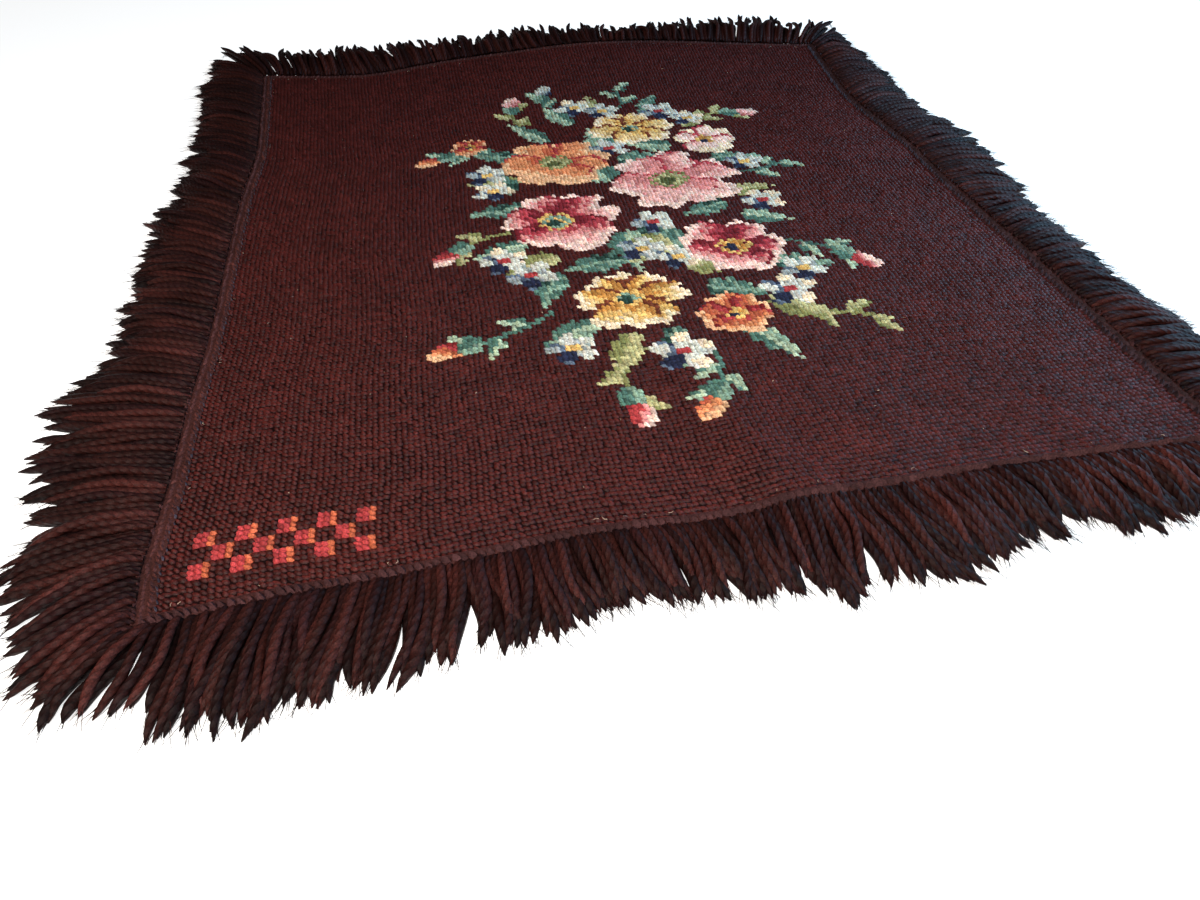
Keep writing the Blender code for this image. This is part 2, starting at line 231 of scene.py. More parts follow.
def set_values(node, **values):
    """Set a node's inputs, with an underscore for each space in a name, or its settings."""
    for name, value in values.items():
        socket = name.replace("_", " ")
        if socket in node.inputs:
            node.inputs[socket].default_value = value
        else:
            setattr(node, name, value)


def add_node(tree, kind, **values):
    """A new node with its values, given in the order in which they are set."""
    node = tree.nodes.new(kind)
    set_values(node, **values)
    return node


def group_socket(tree, name, kind, direction, value=None):
    socket = tree.interface.new_socket(name=name, in_out=direction, socket_type=kind)
    if value is not None:
        socket.default_value = value


def make_wool_group():
    """Fine fibres, uneven dye, and flecks that are partly small pills and partly painted fibre
    highlights, on a woollen yarn.
    """
    tree = bpy.data.node_groups.new("wool_yarn", "ShaderNodeTree")
    group_socket(tree, "Colour", "NodeSocketColor", "INPUT")
    group_socket(tree, "Fibre Size", "NodeSocketFloat", "INPUT", 2600.0)
    group_socket(tree, "Dye Change", "NodeSocketFloat", "INPUT", 0.35)
    group_socket(tree, "Colour", "NodeSocketColor", "OUTPUT")
    group_socket(tree, "Height", "NodeSocketFloat", "OUTPUT")
    start = tree.nodes.new("NodeGroupInput")
    end = tree.nodes.new("NodeGroupOutput")
    place = add_node(tree, "ShaderNodeTexCoord")
    fibres = add_node(tree, "ShaderNodeTexNoise", Detail=3.0, Roughness=0.65)
    dye = add_node(tree, "ShaderNodeTexNoise", Scale=34.0, Detail=3.0)
    # Flecks of paler and darker wool: partly small pills, partly painted highlights on the fibres
    fleck_glints = add_node(tree, "ShaderNodeTexNoise", Scale=1200.0, Detail=2.0)
    dye_range = add_node(tree, "ShaderNodeMapRange", From_Min=0.30, From_Max=0.70)
    fleck_glint_range = add_node(
        tree, "ShaderNodeMapRange", From_Min=0.30, From_Max=0.72, To_Min=0.50, To_Max=1.58
    )
    spread = add_node(tree, "ShaderNodeMath", operation="MULTIPLY_ADD")
    spread.inputs[2].default_value = 1.0
    centre = add_node(tree, "ShaderNodeMath", operation="SUBTRACT")
    centre.inputs[1].default_value = 0.5
    both = add_node(tree, "ShaderNodeMath", operation="MULTIPLY")
    tint = add_node(tree, "ShaderNodeVectorMath", operation="SCALE")
    link = tree.links.new
    for texture in (fibres, dye, fleck_glints):
        link(place.outputs["Object"], texture.inputs["Vector"])
    link(start.outputs["Fibre Size"], fibres.inputs["Scale"])
    link(dye.outputs["Fac"], dye_range.inputs["Value"])
    link(fleck_glints.outputs["Fac"], fleck_glint_range.inputs["Value"])
    link(dye_range.outputs["Result"], centre.inputs[0])
    link(centre.outputs["Value"], spread.inputs[0])
    link(start.outputs["Dye Change"], spread.inputs[1])
    link(spread.outputs["Value"], both.inputs[0])
    link(fleck_glint_range.outputs["Result"], both.inputs[1])
    link(start.outputs["Colour"], tint.inputs["Vector"])
    link(both.outputs["Value"], tint.inputs["Scale"])
    link(tint.outputs["Vector"], end.inputs["Colour"])
    link(fibres.outputs["Fac"], end.inputs["Height"])
    return tree


wool_group = make_wool_group()


FIBRE_RELIEF = 0.0004


def wool_surface(tree, shader, fibre_size, dye_change, relief_strength):
    """Join the wool group and its fine relief to a shader."""
    wool = add_node(
        tree, "ShaderNodeGroup", node_tree=wool_group, Fibre_Size=fibre_size, Dye_Change=dye_change
    )
    relief = add_node(tree, "ShaderNodeBump", Strength=relief_strength, Distance=FIBRE_RELIEF)
    tree.links.new(wool.outputs["Colour"], shader.inputs["Base Color"])
    tree.links.new(wool.outputs["Height"], relief.inputs["Height"])
    tree.links.new(relief.outputs["Normal"], shader.inputs["Normal"])
    return wool, relief


def grid_faces(columns, rows):
    """Quads over a grid of points that is stored row by row."""
    column, row = np.meshgrid(np.arange(columns), np.arange(rows))
    first = (row * (columns + 1) + column).ravel()
    return np.stack((first, first + 1, first + columns + 2, first + columns + 1), axis=1)


def make_canvas():
    across, deep = np.meshgrid(
        np.linspace(0, 1, CANVAS_COLUMNS + 1), np.linspace(0, 1, CANVAS_ROWS + 1)
    )
    under = cloth_point(across, deep, 0.0).reshape(-1, 3)
    face = cloth_point(across, deep, CANVAS_THICKNESS).reshape(-1, 3)
    sheet = grid_faces(CANVAS_COLUMNS, CANVAS_ROWS)
    count = len(under)
    stride = CANVAS_COLUMNS + 1
    rim = np.concatenate((
        np.arange(stride),
        np.arange(1, CANVAS_ROWS + 1) * stride + CANVAS_COLUMNS,
        CANVAS_ROWS * stride + np.arange(CANVAS_COLUMNS - 1, -1, -1),
        np.arange(CANVAS_ROWS - 1, 0, -1) * stride,
    ))
    after = np.roll(rim, -1)
    wall = np.stack((rim, after, after + count, rim + count), axis=1)
    item = add_mesh(
        "canvas", np.concatenate((under, face)), np.concatenate((sheet[:, ::-1], sheet + count, wall))
    )
    marks = np.zeros(len(item.data.polygons), np.int32)
    marks[: len(sheet)] = 1
    item.data.materials.append(ground_cloth)
    item.data.materials.append(canvas_back)
    item.data.polygons.foreach_set("material_index", marks)
    return item


def make_ground_cloth():
    """The wool at the bottom of the holes between stitches, darkened with painted shade."""
    material, tree, shader = new_material("ground_cloth")
    wool, relief = wool_surface(tree, shader, 1800.0, 0.35, 0.6)
    # Painted shade: a dark brown wool taken down to 0.6 for the bottom of the holes
    set_values(wool, Colour=(*(linear(46, 20, 18) * 0.6), 1.0))
    set_values(shader, Roughness=0.95)
    return material


def make_canvas_back():
    """The unworked side: upright wool bars over pale double threads, one band a stitch."""
    material, tree, shader = new_material("canvas_back")
    band_scale = 0.314 / STITCH
    place = add_node(tree, "ShaderNodeTexCoord")
    bars = add_node(
        tree, "ShaderNodeTexWave", bands_direction="X", Scale=band_scale, Distortion=1.2,
        Detail_Scale=40.0,
    )
    threads = add_node(
        tree, "ShaderNodeTexWave", bands_direction="Y", Scale=band_scale, Distortion=0.6
    )
    shade = add_node(
        tree, "ShaderNodeMix", data_type="RGBA",
        A=(*linear(150, 118, 84), 1.0), B=(*linear(62, 30, 27), 1.0),
    )
    cover = add_node(tree, "ShaderNodeMapRange", From_Min=0.12, From_Max=0.30)
    wool = add_node(tree, "ShaderNodeGroup", node_tree=wool_group)
    height = add_node(tree, "ShaderNodeMath", operation="ADD")
    relief = add_node(tree, "ShaderNodeBump", Strength=0.8, Distance=0.0008)
    link = tree.links.new
    link(place.outputs["Object"], bars.inputs["Vector"])
    link(place.outputs["Object"], threads.inputs["Vector"])
    link(bars.outputs["Fac"], cover.inputs["Value"])
    link(cover.outputs["Result"], shade.inputs["Factor"])
    link(shade.outputs["Result"], wool.inputs["Colour"])
    link(wool.outputs["Colour"], shader.inputs["Base Color"])
    link(bars.outputs["Fac"], height.inputs[0])
    link(threads.outputs["Fac"], height.inputs[1])
    link(height.outputs["Value"], relief.inputs["Height"])
    link(relief.outputs["Normal"], shader.inputs["Normal"])
    set_values(shader, Roughness=0.9)
    return material


ground_cloth = make_ground_cloth()
canvas_back = make_canvas_back()
canvas = make_canvas()
plan_uv(canvas)
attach(canvas, "root")
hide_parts("canvas_panel")

# Chart
# The pattern that the stitcher followed, one square for each stitch, row 0 at the front edge:
# an oval bouquet of ordinary garden flowers in many families of wool, on a dark brown ground.
# Flowers, leaves, buds and sprigs are each worked out from a centre, a size and a few tones.
WOOLS = {
    "ground": (69, 24, 21),
    "cream": (240, 218, 186), "straw": (230, 196, 138), "yellow": (224, 182, 108),
    "ochre": (186, 130, 64), "rust": (112, 54, 34),
    "shell": (242, 208, 194), "pink": (234, 178, 170), "rose": (214, 136, 133),
    "cerise": (172, 62, 72), "crimson": (116, 30, 40),
    "peach": (230, 178, 136), "apricot": (216, 138, 94), "orange": (190, 96, 66),
    "coral": (166, 58, 60), "brick": (126, 32, 34),
    "mist": (204, 204, 192), "sky": (152, 160, 160), "blue": (88, 102, 120),
    "navy": (34, 38, 62),
    "sage": (168, 186, 158), "jade": (128, 156, 136), "teal": (76, 110, 98),
    "pine": (36, 62, 54),
    "lime": (178, 174, 126), "leaf": (132, 134, 84), "moss": (78, 84, 48),
}
WOOL_NAMES = list(WOOLS)
GROUND = WOOL_NAMES.index("ground")
BOUQUET_COLUMN = 91.5
BOUQUET_ROW = 97.0

# Tones of each family, deepest first
TONES = {
    "yellow": ("rust", "ochre", "yellow", "straw", "straw", "cream"),
    "gold": ("rust", "ochre", "ochre", "yellow", "straw", "cream"),
    "orange": ("coral", "orange", "apricot", "apricot", "peach", "peach"),
    "pink": ("cerise", "rose", "rose", "pink", "pink", "shell"),
    "crimson": ("crimson", "crimson", "cerise", "rose", "pink", "shell"),
    "blush": ("cerise", "pink", "shell", "shell", "cream", "cream"),
    "flame": ("brick", "coral", "orange", "apricot", "peach"),
    "blue": ("navy", "blue", "sky", "mist", "mist"),
    "white": ("navy", "blue", "mist", "mist", "cream"),
    "teal": ("pine", "teal", "teal", "jade", "sage"),
    "dark_teal": ("pine", "pine", "teal", "teal", "jade"),
    "green": ("moss", "leaf", "leaf", "lime", "lime"),
    "red": ("crimson", "coral", "coral", "rose", "shell"),
}


def tone(family, depth):
    """Numbers of the wools for depths from 0, deepest, to 1, palest."""
    names = TONES[family]
    steps = np.clip((np.asarray(depth) * len(names)).astype(int), 0, len(names) - 1)
    return np.array([WOOL_NAMES.index(name) for name in names])[steps]


column_grid, row_grid = np.meshgrid(np.arange(STITCHES_ACROSS), np.arange(STITCHES_DEEP))
chart = np.full((STITCHES_DEEP, STITCHES_ACROSS), GROUND)
chart_chance = np.random.default_rng(11)


def chart_axes(right, back, turn):
    """Each square's distance along and across a direction, from a point of the bouquet."""
    x = column_grid + 0.5 - BOUQUET_COLUMN - right
    y = row_grid + 0.5 - BOUQUET_ROW - back
    angle = math.radians(turn)
    along = x * math.cos(angle) + y * math.sin(angle)
    return along, -x * math.sin(angle) + y * math.cos(angle)


def work(mask, wools):
    """Work some squares of the chart, all in one wool or each in its own."""
    chart[mask] = wools[mask] if isinstance(wools, np.ndarray) else wools


def work_petal(right, back, length, width, turn, family, ruffle, dusk):
    """A petal: deep at the throat, pale towards its ruffled rim, one side in shade."""
    along, over = chart_axes(right, back, turn)
    aside = over / (width / 2)
    rim = length * (1 - 0.22 * np.abs(aside) ** 3)
    notch = (0.06 + 2.2 * ruffle) * np.exp(-(((aside - 0.15) / 0.20) ** 2))
    rim = rim * (1 - notch + ruffle * np.cos(aside * 6.5 + turn))
    share = along / rim
    narrow = 0.24 + 0.76 * np.sin(np.clip(share / 0.6, 0, 1) * math.pi / 2)
    round_end = np.sqrt(np.clip(1 - ((share - 0.6) / 0.45) ** 2, 0, 1))
    half = np.where(share < 0.6, narrow, round_end)
    mask = (share > 0) & (share < 1) & (np.abs(aside) < half)
    light = 0.10 + 0.74 * np.clip(share, 0, 1) ** 0.8 - 0.24 * dusk * aside
    light = light + 0.10 * np.cos(aside * 8.0 + turn) * np.clip(1.1 - share, 0, 1)
    in_shade = (aside * dusk > half - 2.2 / width) & (share < 0.92)
    light = light - 0.45 * in_shade + 0.22 * (share > 0.84)
    light = light + 0.09 * (np.cos(along * 2.3 + turn) * np.cos(over * 1.9 - turn))
    work(mask, tone(family, np.clip(light, 0, 0.999)))


def work_eye(right, back, radius, wools):
    """The middle of a flower: a ring of stamens round a two toned disc."""
    along, over = chart_axes(right, back, 0)
    distance = np.hypot(along, over * 1.15)
    stamens, pale, deep = (WOOL_NAMES.index(name) for name in wools)
    ring = (distance < radius * 1.5) & ((column_grid + 2 * row_grid) % 3 > 0)
    work(ring, stamens)
    work(distance < radius, pale)
    work((distance < radius * 0.85) & ((column_grid + row_grid) % 3 == 0), stamens)
    work(np.hypot(along + 0.6, over + 0.6) < radius * 0.55, deep)


def work_flower(right, back, radius, petals, turn, squash, family, eye, ruffle, fullness):
    """An open flower seen a little from the side, its back petals worked first."""
    angles = turn + np.arange(petals) * 360.0 / petals + chart_chance.uniform(-9, 9, petals)
    lengths = radius * chart_chance.uniform(0.86, 1.10, petals)
    back_first = sorted(zip(angles, lengths), key=lambda petal: -math.sin(math.radians(petal[0])))
    for angle, length in back_first:
        slope = math.radians(angle)
        tilt = math.hypot(math.cos(slope), squash * math.sin(slope))
        width = 2 * radius * math.sin(math.pi / petals) * fullness
        dusk = 1 if math.cos(slope) > -0.2 else -1
        work_petal(right, back, length * tilt, width, angle, family, ruffle, dusk)
    work_eye(right, back, radius * 0.21, eye)


def work_leaf(right, back, length, width, turn, family, bend):
    """A toothed leaf from its stalk to its point, one half lighter, with a pale rib."""
    along, over = chart_axes(right, back, turn)
    share = along / length
    over = over + bend * length * (share - share**2)
    half = 0.86 * width / 2 * np.sin(math.pi * np.clip(share, 0, 1) ** 0.72)
    half = half - 0.8 * (np.mod(along, 3.6) < 1.2)
    mask = (share > 0) & (share < 1) & (np.abs(over) < half)
    light = 0.30 + 0.34 * (over > 0) + 0.22 * share + 0.16 * (np.mod(along + np.abs(over), 4.0) < 1.4)
    light = np.where(np.abs(over) < 0.55, 0.92, light)
    work(mask, tone(family, np.clip(light, 0, 0.999)))


def work_small_flower(right, back, radius, turn, family, eye):
    """A small five petalled flower with a bright eye, two of its petals in shade."""
    for petal in (3, 2, 4, 0, 1):
        angle = turn + 72 * petal
        slope = math.radians(angle)
        middle_right = right + radius * 0.58 * math.cos(slope)
        middle_back = back + radius * 0.52 * math.sin(slope)
        along, over = chart_axes(middle_right, middle_back, angle)
        inside = (along / (radius * 0.46)) ** 2 + (over / (radius * 0.34)) ** 2 < 1.0
        shaded = 0.12 if petal == 3 else 0.45 if petal == 2 else 0.80
        light = shaded + 0.30 * along / radius - 0.22 * (over < -radius * 0.15)
        work(inside, tone(family, np.clip(light, 0, 0.999)))
    along, over = chart_axes(right, back, 0)
    work(np.hypot(along, over) < max(radius * 0.22, 1.1), WOOL_NAMES.index(eye))


def work_bud(right, back, turn, size, bud):
    """A closed bud in its green cup."""
    along, over = chart_axes(right, back, turn)
    petals = ((along - 0.62 * size) / (0.62 * size)) ** 2 + (over / (0.40 * size)) ** 2 < 1.0
    work(petals, tone(bud, np.clip(0.20 + along / (1.6 * size) + over / size, 0, 0.999)))
    cup = ((along + 0.1 * size) / (0.45 * size)) ** 2 + (over / (0.42 * size)) ** 2 < 1.0
    work(cup & (along < 0.28 * size), tone("teal", np.where(over > 0, 0.7, 0.3)))


def work_sprig(right, back, length, turn, bend, family, leaves, bud):
    """A thin curving stem with small leaves by turns, and a bud at its end."""
    steps = int(length * 2)
    apart = max(steps // leaves, 1)
    place_right, place_back, heading = right, back, math.radians(turn)
    for step in range(steps):
        chart[int(place_back + BOUQUET_ROW), int(place_right + BOUQUET_COLUMN)] = tone(family, 0.45)
        if step % apart == apart - 1:
            lean = math.degrees(heading) + (48 if (step // apart) % 2 else -48)
            work_leaf(place_right, place_back, 7.5, 5.0, lean, family, 0.0)
        place_right += 0.5 * math.cos(heading)
        place_back += 0.5 * math.sin(heading)
        heading += math.radians(bend) / steps
    if bud:
        work_bud(place_right, place_back, math.degrees(heading), 6.5, bud)


# columns: right, back, length, turn, bend, family, leaves, bud, in stitches from the middle
SPRIGS = (
    (-26, 34, 18, 150, 40, "teal", 3, "flame"),
    (-18, 48, 17, 118, -36, "green", 3, "pink"),
    (-30, -6, 13, 186, 30, "green", 2, "red"),
    (-26, -40, 19, 216, -32, "teal", 3, "flame"),
    (-12, -54, 15, 242, 36, "green", 2, "red"),
    (4, -58, 13, 272, -34, "teal", 3, "orange"),
    (26, -46, 17, 318, 30, "green", 3, None),
    (32, -22, 15, 340, -30, "teal", 3, "red"),
    (34, 12, 13, 4, 34, "teal", 3, None),
    (30, 46, 15, 32, -34, "green", 3, "pink"),
    (12, 58, 13, 74, 30, "teal", 3, None),
    (-10, 58, 12, 108, -30, "teal", 2, "blue"),
)
# columns: right, back, length, width, turn, family, bend
LEAVES = (
    (-14, 40, 17, 8, 124, "teal", 0.15), (-22, 32, 16, 8, 160, "dark_teal", -0.12),
    (-24, 18, 16, 8, 172, "green", 0.15), (-24, 6, 16, 8, 186, "dark_teal", -0.15),
    (-26, -12, 15, 7, 196, "teal", 0.12), (-20, -18, 16, 9, 208, "green", 0.15),
    (-16, -44, 16, 8, 212, "teal", 0.14), (-10, -48, 16, 8, 244, "green", -0.12),
    (-2, -48, 16, 8, 268, "dark_teal", 0.14), (12, -50, 16, 8, 300, "teal", -0.14),
    (20, -42, 17, 9, 322, "green", 0.12), (26, -30, 15, 9, 346, "dark_teal", 0.14),
    (27, -8, 14, 8, 336, "teal", 0.12), (28, 2, 13, 7, 8, "green", -0.14),
    (27, 22, 15, 8, 356, "dark_teal", 0.12), (26, 42, 16, 8, 48, "green", 0.15),
    (18, 52, 15, 8, 66, "dark_teal", -0.12), (4, 54, 15, 7, 96, "green", 0.12),
    (-4, 50, 15, 8, 118, "teal", -0.14), (2, 30, 17, 13, 100, "teal", 0.10),
    (2, 26, 16, 12, 350, "dark_teal", 0.10), (-2, 14, 14, 12, 110, "teal", 0.10),
    (2, -8, 18, 12, 300, "dark_teal", 0.12), (-2, -10, 18, 12, 264, "teal", 0.10),
    (6, -14, 16, 11, 222, "green", 0.10), (20, 30, 14, 10, 160, "teal", 0.10),
    (6, -30, 16, 11, 30, "green", 0.12), (8, -36, 15, 10, 340, "dark_teal", 0.10),
    (-22, -24, 15, 9, 250, "dark_teal", 0.10), (-28, 12, 13, 8, 100, "dark_teal", 0.1),
    (26, -2, 14, 9, 200, "dark_teal", 0.10), (-6, -22, 15, 9, 190, "dark_teal", 0.10),
)
# columns: right, back, radius, turn, family, eye
SMALL_FLOWERS = (
    (-33, 24, 5.8, 20, "blue", "yellow"), (-32, 15, 5.4, 60, "white", "yellow"),
    (-2, 61, 6.0, 40, "white", "yellow"), (6, 57, 5.4, 15, "blue", "yellow"),
    (23, 54, 6.0, 50, "blue", "coral"), (30, 48, 5.4, 12, "white", "yellow"),
    (2, 33, 6.0, 30, "blue", "coral"), (-1, -19, 5.8, 0, "blue", "yellow"),
    (5, -8, 5.6, 36, "blue", "coral"), (6, -24, 5.4, 20, "white", "yellow"),
    (-33, -18, 5.8, 25, "white", "coral"), (-28, -25, 5.8, 50, "blue", "coral"),
    (26, -41, 6.4, 12, "white", "coral"), (32, -34, 5.4, 48, "blue", "yellow"),
    (35, -3, 5.8, 35, "white", "coral"), (36, 18, 5.2, 15, "blue", "yellow"),
    (-2, -57, 6.6, 8, "white", "coral"), (-23, -52, 5.2, 30, "blue", "yellow"),
)
TEAL_EYE = ("yellow", "jade", "pine")
GREEN_EYE = ("leaf", "lime", "moss")
DARK_EYE = ("yellow", "ochre", "navy")
# columns: right, back, radius, petals, turn, squash, family, eye, ruffle, fullness
FLOWERS = (
    (11, 44, 12.5, 8, 12, 0.86, "yellow", TEAL_EYE, 0.02, 0.92),
    (-14, 28, 15.0, 6, 20, 0.84, "orange", GREEN_EYE, 0.06, 1.24),
    (30, 33, 9.5, 5, 40, 0.90, "blush", DARK_EYE, 0.04, 1.12),
    (-18, -3, 15.0, 6, 14, 0.90, "crimson", TEAL_EYE, 0.06, 1.18),
    (14, 12, 17.5, 6, 40, 0.86, "pink", GREEN_EYE, 0.08, 1.26),
    (-9, -37, 12.5, 8, 4, 0.88, "gold", TEAL_EYE, 0.02, 0.94),
    (20, -22, 13.0, 6, 22, 0.90, "crimson", DARK_EYE, 0.06, 1.18),
    (12, -47, 7.6, 5, 34, 0.94, "flame", DARK_EYE, 0.04, 1.14),
    (-36, 42, 5.5, 5, 10, 0.94, "flame", DARK_EYE, 0.04, 1.14),
)
for sprig in SPRIGS:
    work_sprig(*sprig)
for leaf in LEAVES:
    work_leaf(*leaf)
for flower in SMALL_FLOWERS:
    work_small_flower(*flower)
for flower in FLOWERS:
    work_flower(*flower)

# Corner ornament
# A short checkered border in the front left corner, worked in cross stitch like the rest: coral
# blocks of three stitches by three, each with its right hand stitches in orange.
ORNAMENT_COLUMN = 4
ORNAMENT_ROW = 5
ORNAMENT_WIDTH = 27
ORNAMENT_DEPTH = 9
BLOCK = 3
CORNER_ROWS = 20


def work_checkers():
    """Work every other block, with its strip in the second wool."""
    across = column_grid - ORNAMENT_COLUMN
    deep = row_grid - ORNAMENT_ROW
    inside = (across >= 0) & (across < ORNAMENT_WIDTH) & (deep >= 0) & (deep < ORNAMENT_DEPTH)
    blocks = inside & ((across // BLOCK + deep // BLOCK) % 2 == 0)
    work(blocks, WOOL_NAMES.index("coral"))
    work(blocks & (across % BLOCK == BLOCK - 1), WOOL_NAMES.index("orange"))


work_checkers()

# Stitches
# Cross stitch in three strand wool: every stitch is a plump slanting leg over its square of the
# canvas, highest in the middle and drawn into the holes at its ends, with the wool of the leg
# below it filling the square. Stitches of one part are joined into one mesh.
LEG_LENGTH = 1.04
LEG_HALF_WIDTH = 0.00152
LEG_FLATTEN = 0.17
LEG_HEIGHT = 0.00155
LEG_BASE = 0.00135
LEG_SINK = 0.0002
LOWER_LEG_DROP = 0.0001
# Unevenness from stitch to stitch, as shares of the usual, with the shift in metres
LEG_TURN = 0.17
LENGTH_CHANGE = 0.08
WIDTH_CHANGE = 0.10
HEIGHT_CHANGE = 0.19
STITCH_SHIFT = 0.00022
STITCH_TONE = 0.19
STITCH_HUE = 0.02
ROW_TONE = 0.045
SHADE_LIMITS = (0.6, 1.4)
# Stitch rows waver a little, less and less within so many stitches of an edge
# columns: stitches aside, waves per stitch, phase
ROW_WAVER = ((0.10, 0.11, 0.3), (0.06, 0.31, 1.9))
COLUMN_WAVER = ((0.12, 0.09, 1.1), (0.07, 0.27, 0.2))
STRAIGHT_RIM = 8.0
# The step over which the slope of the cloth is taken
NUDGE = 1e-3
# columns: place along the leg, width, height, as shares
LEG_SECTIONS = ((-0.54, 0.86, 0.76), (0.0, 1.0, 1.0), (0.54, 0.86, 0.76))
PILLOW_FACES = np.array((
    (0, 3, 2), (0, 4, 3),
    (2, 3, 6), (2, 6, 5), (3, 4, 7), (3, 7, 6),
    (5, 6, 9), (5, 9, 8), (6, 7, 10), (6, 10, 9),
    (8, 9, 1), (9, 10, 1),
))
PILLOW_POINTS = 11


def pillows(centre, along, over, up, base):
    """Points of many pillows: two tips, then three cross sections of three points."""
    low = centre - up * base
    points = [low - along, low + along]
    for place, width, height in LEG_SECTIONS:
        middle = centre + along * place
        points += [
            middle + over * width - up * base,
            middle + up * height,
            middle - over * width - up * base,
        ]
    return np.stack(points, axis=1)


def repeat_faces(faces, count, points_each):
    """Faces of many like bodies, whose points follow each other."""
    first = (np.arange(count) * points_each)[:, None, None]
    return (faces[None] + first).reshape(-1, faces.shape[1])


# A stitch is one pillow over a flat square of the wool below it. Its points carry painted light: painted
# shade at its tips, low sides and the square below, and a painted highlight along its top.
STITCH_FACES = np.concatenate((PILLOW_FACES, ((11, 12, 13), (11, 13, 14))))
GROUND_PAINTED_LIGHT = np.array((0.50, 0.50) + (0.34, 1.32, 0.34) * 3 + (0.16,) * 4)
FLOWER_PAINTED_LIGHT = np.array((0.82, 0.82) + (0.74, 1.14, 0.74) * 3 + (0.48,) * 4)
SQUARE_CORNERS = ((-0.51, -0.51), (0.51, -0.51), (0.51, 0.51), (-0.51, 0.51))


def waver(table, along, across):
    """How far, in stitches, the stitches of a row lie aside of its straight line."""
    return sum(size * np.sin(along * pitch + phase + across) for size, pitch, phase in table)


def cloth_slope(nudge_across, nudge_deep):
    """How the cloth runs on at each stitch, as a length for the whole of across or deep."""
    ahead = cloth_point(stitch_across + nudge_across, stitch_deep + nudge_deep, 0.0)
    behind = cloth_point(stitch_across - nudge_across, stitch_deep - nudge_deep, 0.0)
    return (ahead - behind) / (2 * NUDGE)


stitch_chance = np.random.default_rng(23)
row_tone = stitch_chance.normal(0.0, ROW_TONE, (STITCHES_DEEP, 1)) + np.zeros(chart.shape)
from_rim = np.minimum.reduce((
    column_grid, STITCHES_ACROSS - 1 - column_grid, row_grid, STITCHES_DEEP - 1 - row_grid
))
fade = np.clip(from_rim / STRAIGHT_RIM, 0, 1)
waver_across = waver(ROW_WAVER, row_grid, column_grid * 0.013)
waver_deep = waver(COLUMN_WAVER, column_grid, row_grid * 0.017)
stitch_across = (column_grid + 0.5) / STITCHES_ACROSS + fade * waver_across / STITCHES_ACROSS
stitch_deep = (row_grid + 0.5) / STITCHES_DEEP + fade * waver_deep / STITCHES_DEEP
square_across = cloth_slope(NUDGE, 0.0) / STITCHES_ACROSS
square_deep = cloth_slope(0.0, NUDGE) / STITCHES_DEEP


def unit(rows):
    return rows / np.linalg.norm(rows, axis=-1, keepdims=True)


def stitch_points(mask):
    """The points of a part's stitches: the upper leg, then the square of wool below it."""
    rightward, backward = square_across[mask], square_deep[mask]
    jitter = stitch_chance.normal(0.0, 1.0, (len(rightward), 6))
    diagonal = (rightward * (1 + LEG_FLATTEN) - backward * (1 - LEG_FLATTEN)) / 2
    cross = (rightward + backward) / 2 * LEG_TURN * jitter[:, 0:1]
    along = (diagonal + cross) * (LEG_LENGTH + LENGTH_CHANGE * jitter[:, 1:2])
    up = unit(np.cross(rightward, backward))
    over = unit(np.cross(up, along)) * LEG_HALF_WIDTH * (1 + WIDTH_CHANGE * jitter[:, 2:3])
    centre = cloth_point(stitch_across[mask], stitch_deep[mask], LEG_BASE)
    square = np.stack([
        centre + rightward * right + backward * back - up * LOWER_LEG_DROP
        for right, back in SQUARE_CORNERS
    ], axis=1)
    centre[:, :2] += jitter[:, 3:5] * STITCH_SHIFT
    height = up * LEG_HEIGHT * (1 + HEIGHT_CHANGE * jitter[:, 5:6])
    legs = pillows(centre, along, over, height, LEG_SINK / LEG_HEIGHT)
    return np.concatenate((legs, square), axis=1)


def stitch_colours(mask, point_painted_light):
    """Each stitch's own dye and random tone, with painted shade and a painted highlight from point to
    point of it.
    """
    tones = np.array([linear(*WOOLS[name]) for name in WOOL_NAMES])[chart[mask]]
    shade = 1.0 + stitch_chance.normal(0.0, STITCH_TONE, (len(tones), 1)) + row_tone[mask][:, None]
    shade = np.clip(shade + stitch_chance.normal(0, STITCH_HUE, tones.shape), *SHADE_LIMITS)
    # Painted light: each point's colour is scaled by its painted shade or painted highlight
    return (tones * shade)[:, None] * point_painted_light[None, :, None]


def colour_points(item, colours):
    """Give every point of a piece the colour of its yarn."""
    layer = item.data.color_attributes.new("yarn_colour", "FLOAT_COLOR", "POINT")
    full = np.ones((len(colours), 4), np.float32)
    full[:, :3] = colours
    layer.data.foreach_set("color", full.ravel())


def make_stitches(name, mask, material, point_painted_light):
    """The stitches of one part of the chart, with their own small unevenness."""
    points = stitch_points(mask)
    faces = repeat_faces(STITCH_FACES, *points.shape[:2])
    item = add_mesh(name, points.reshape(-1, 3), faces)
    colour_points(item, stitch_colours(mask, point_painted_light).reshape(-1, 3))
    item.data.materials.append(material)
    plan_uv(item)
    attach(item, "root")
    return item


def dye_from_yarn(tree, wool):
    """Give the wool group the yarn's own colour, held by each piece as yarn_colour."""
    colour = add_node(tree, "ShaderNodeAttribute", attribute_name="yarn_colour")
    tree.links.new(colour.outputs["Color"], wool.inputs["Colour"])


def dyed_wool(name, fibre_size, dye_change, relief, roughness, shine, sheen=0.0):
    """Wool in the yarn's own colours, with fine fibres in relief."""
    material, tree, shader = new_material(name)
    dye_from_yarn(tree, wool_surface(tree, shader, fibre_size, dye_change, relief)[0])
    set_values(
        shader, Roughness=roughness, Specular_IOR_Level=shine, Sheen_Weight=sheen,
        Sheen_Roughness=0.45,
    )
    return material


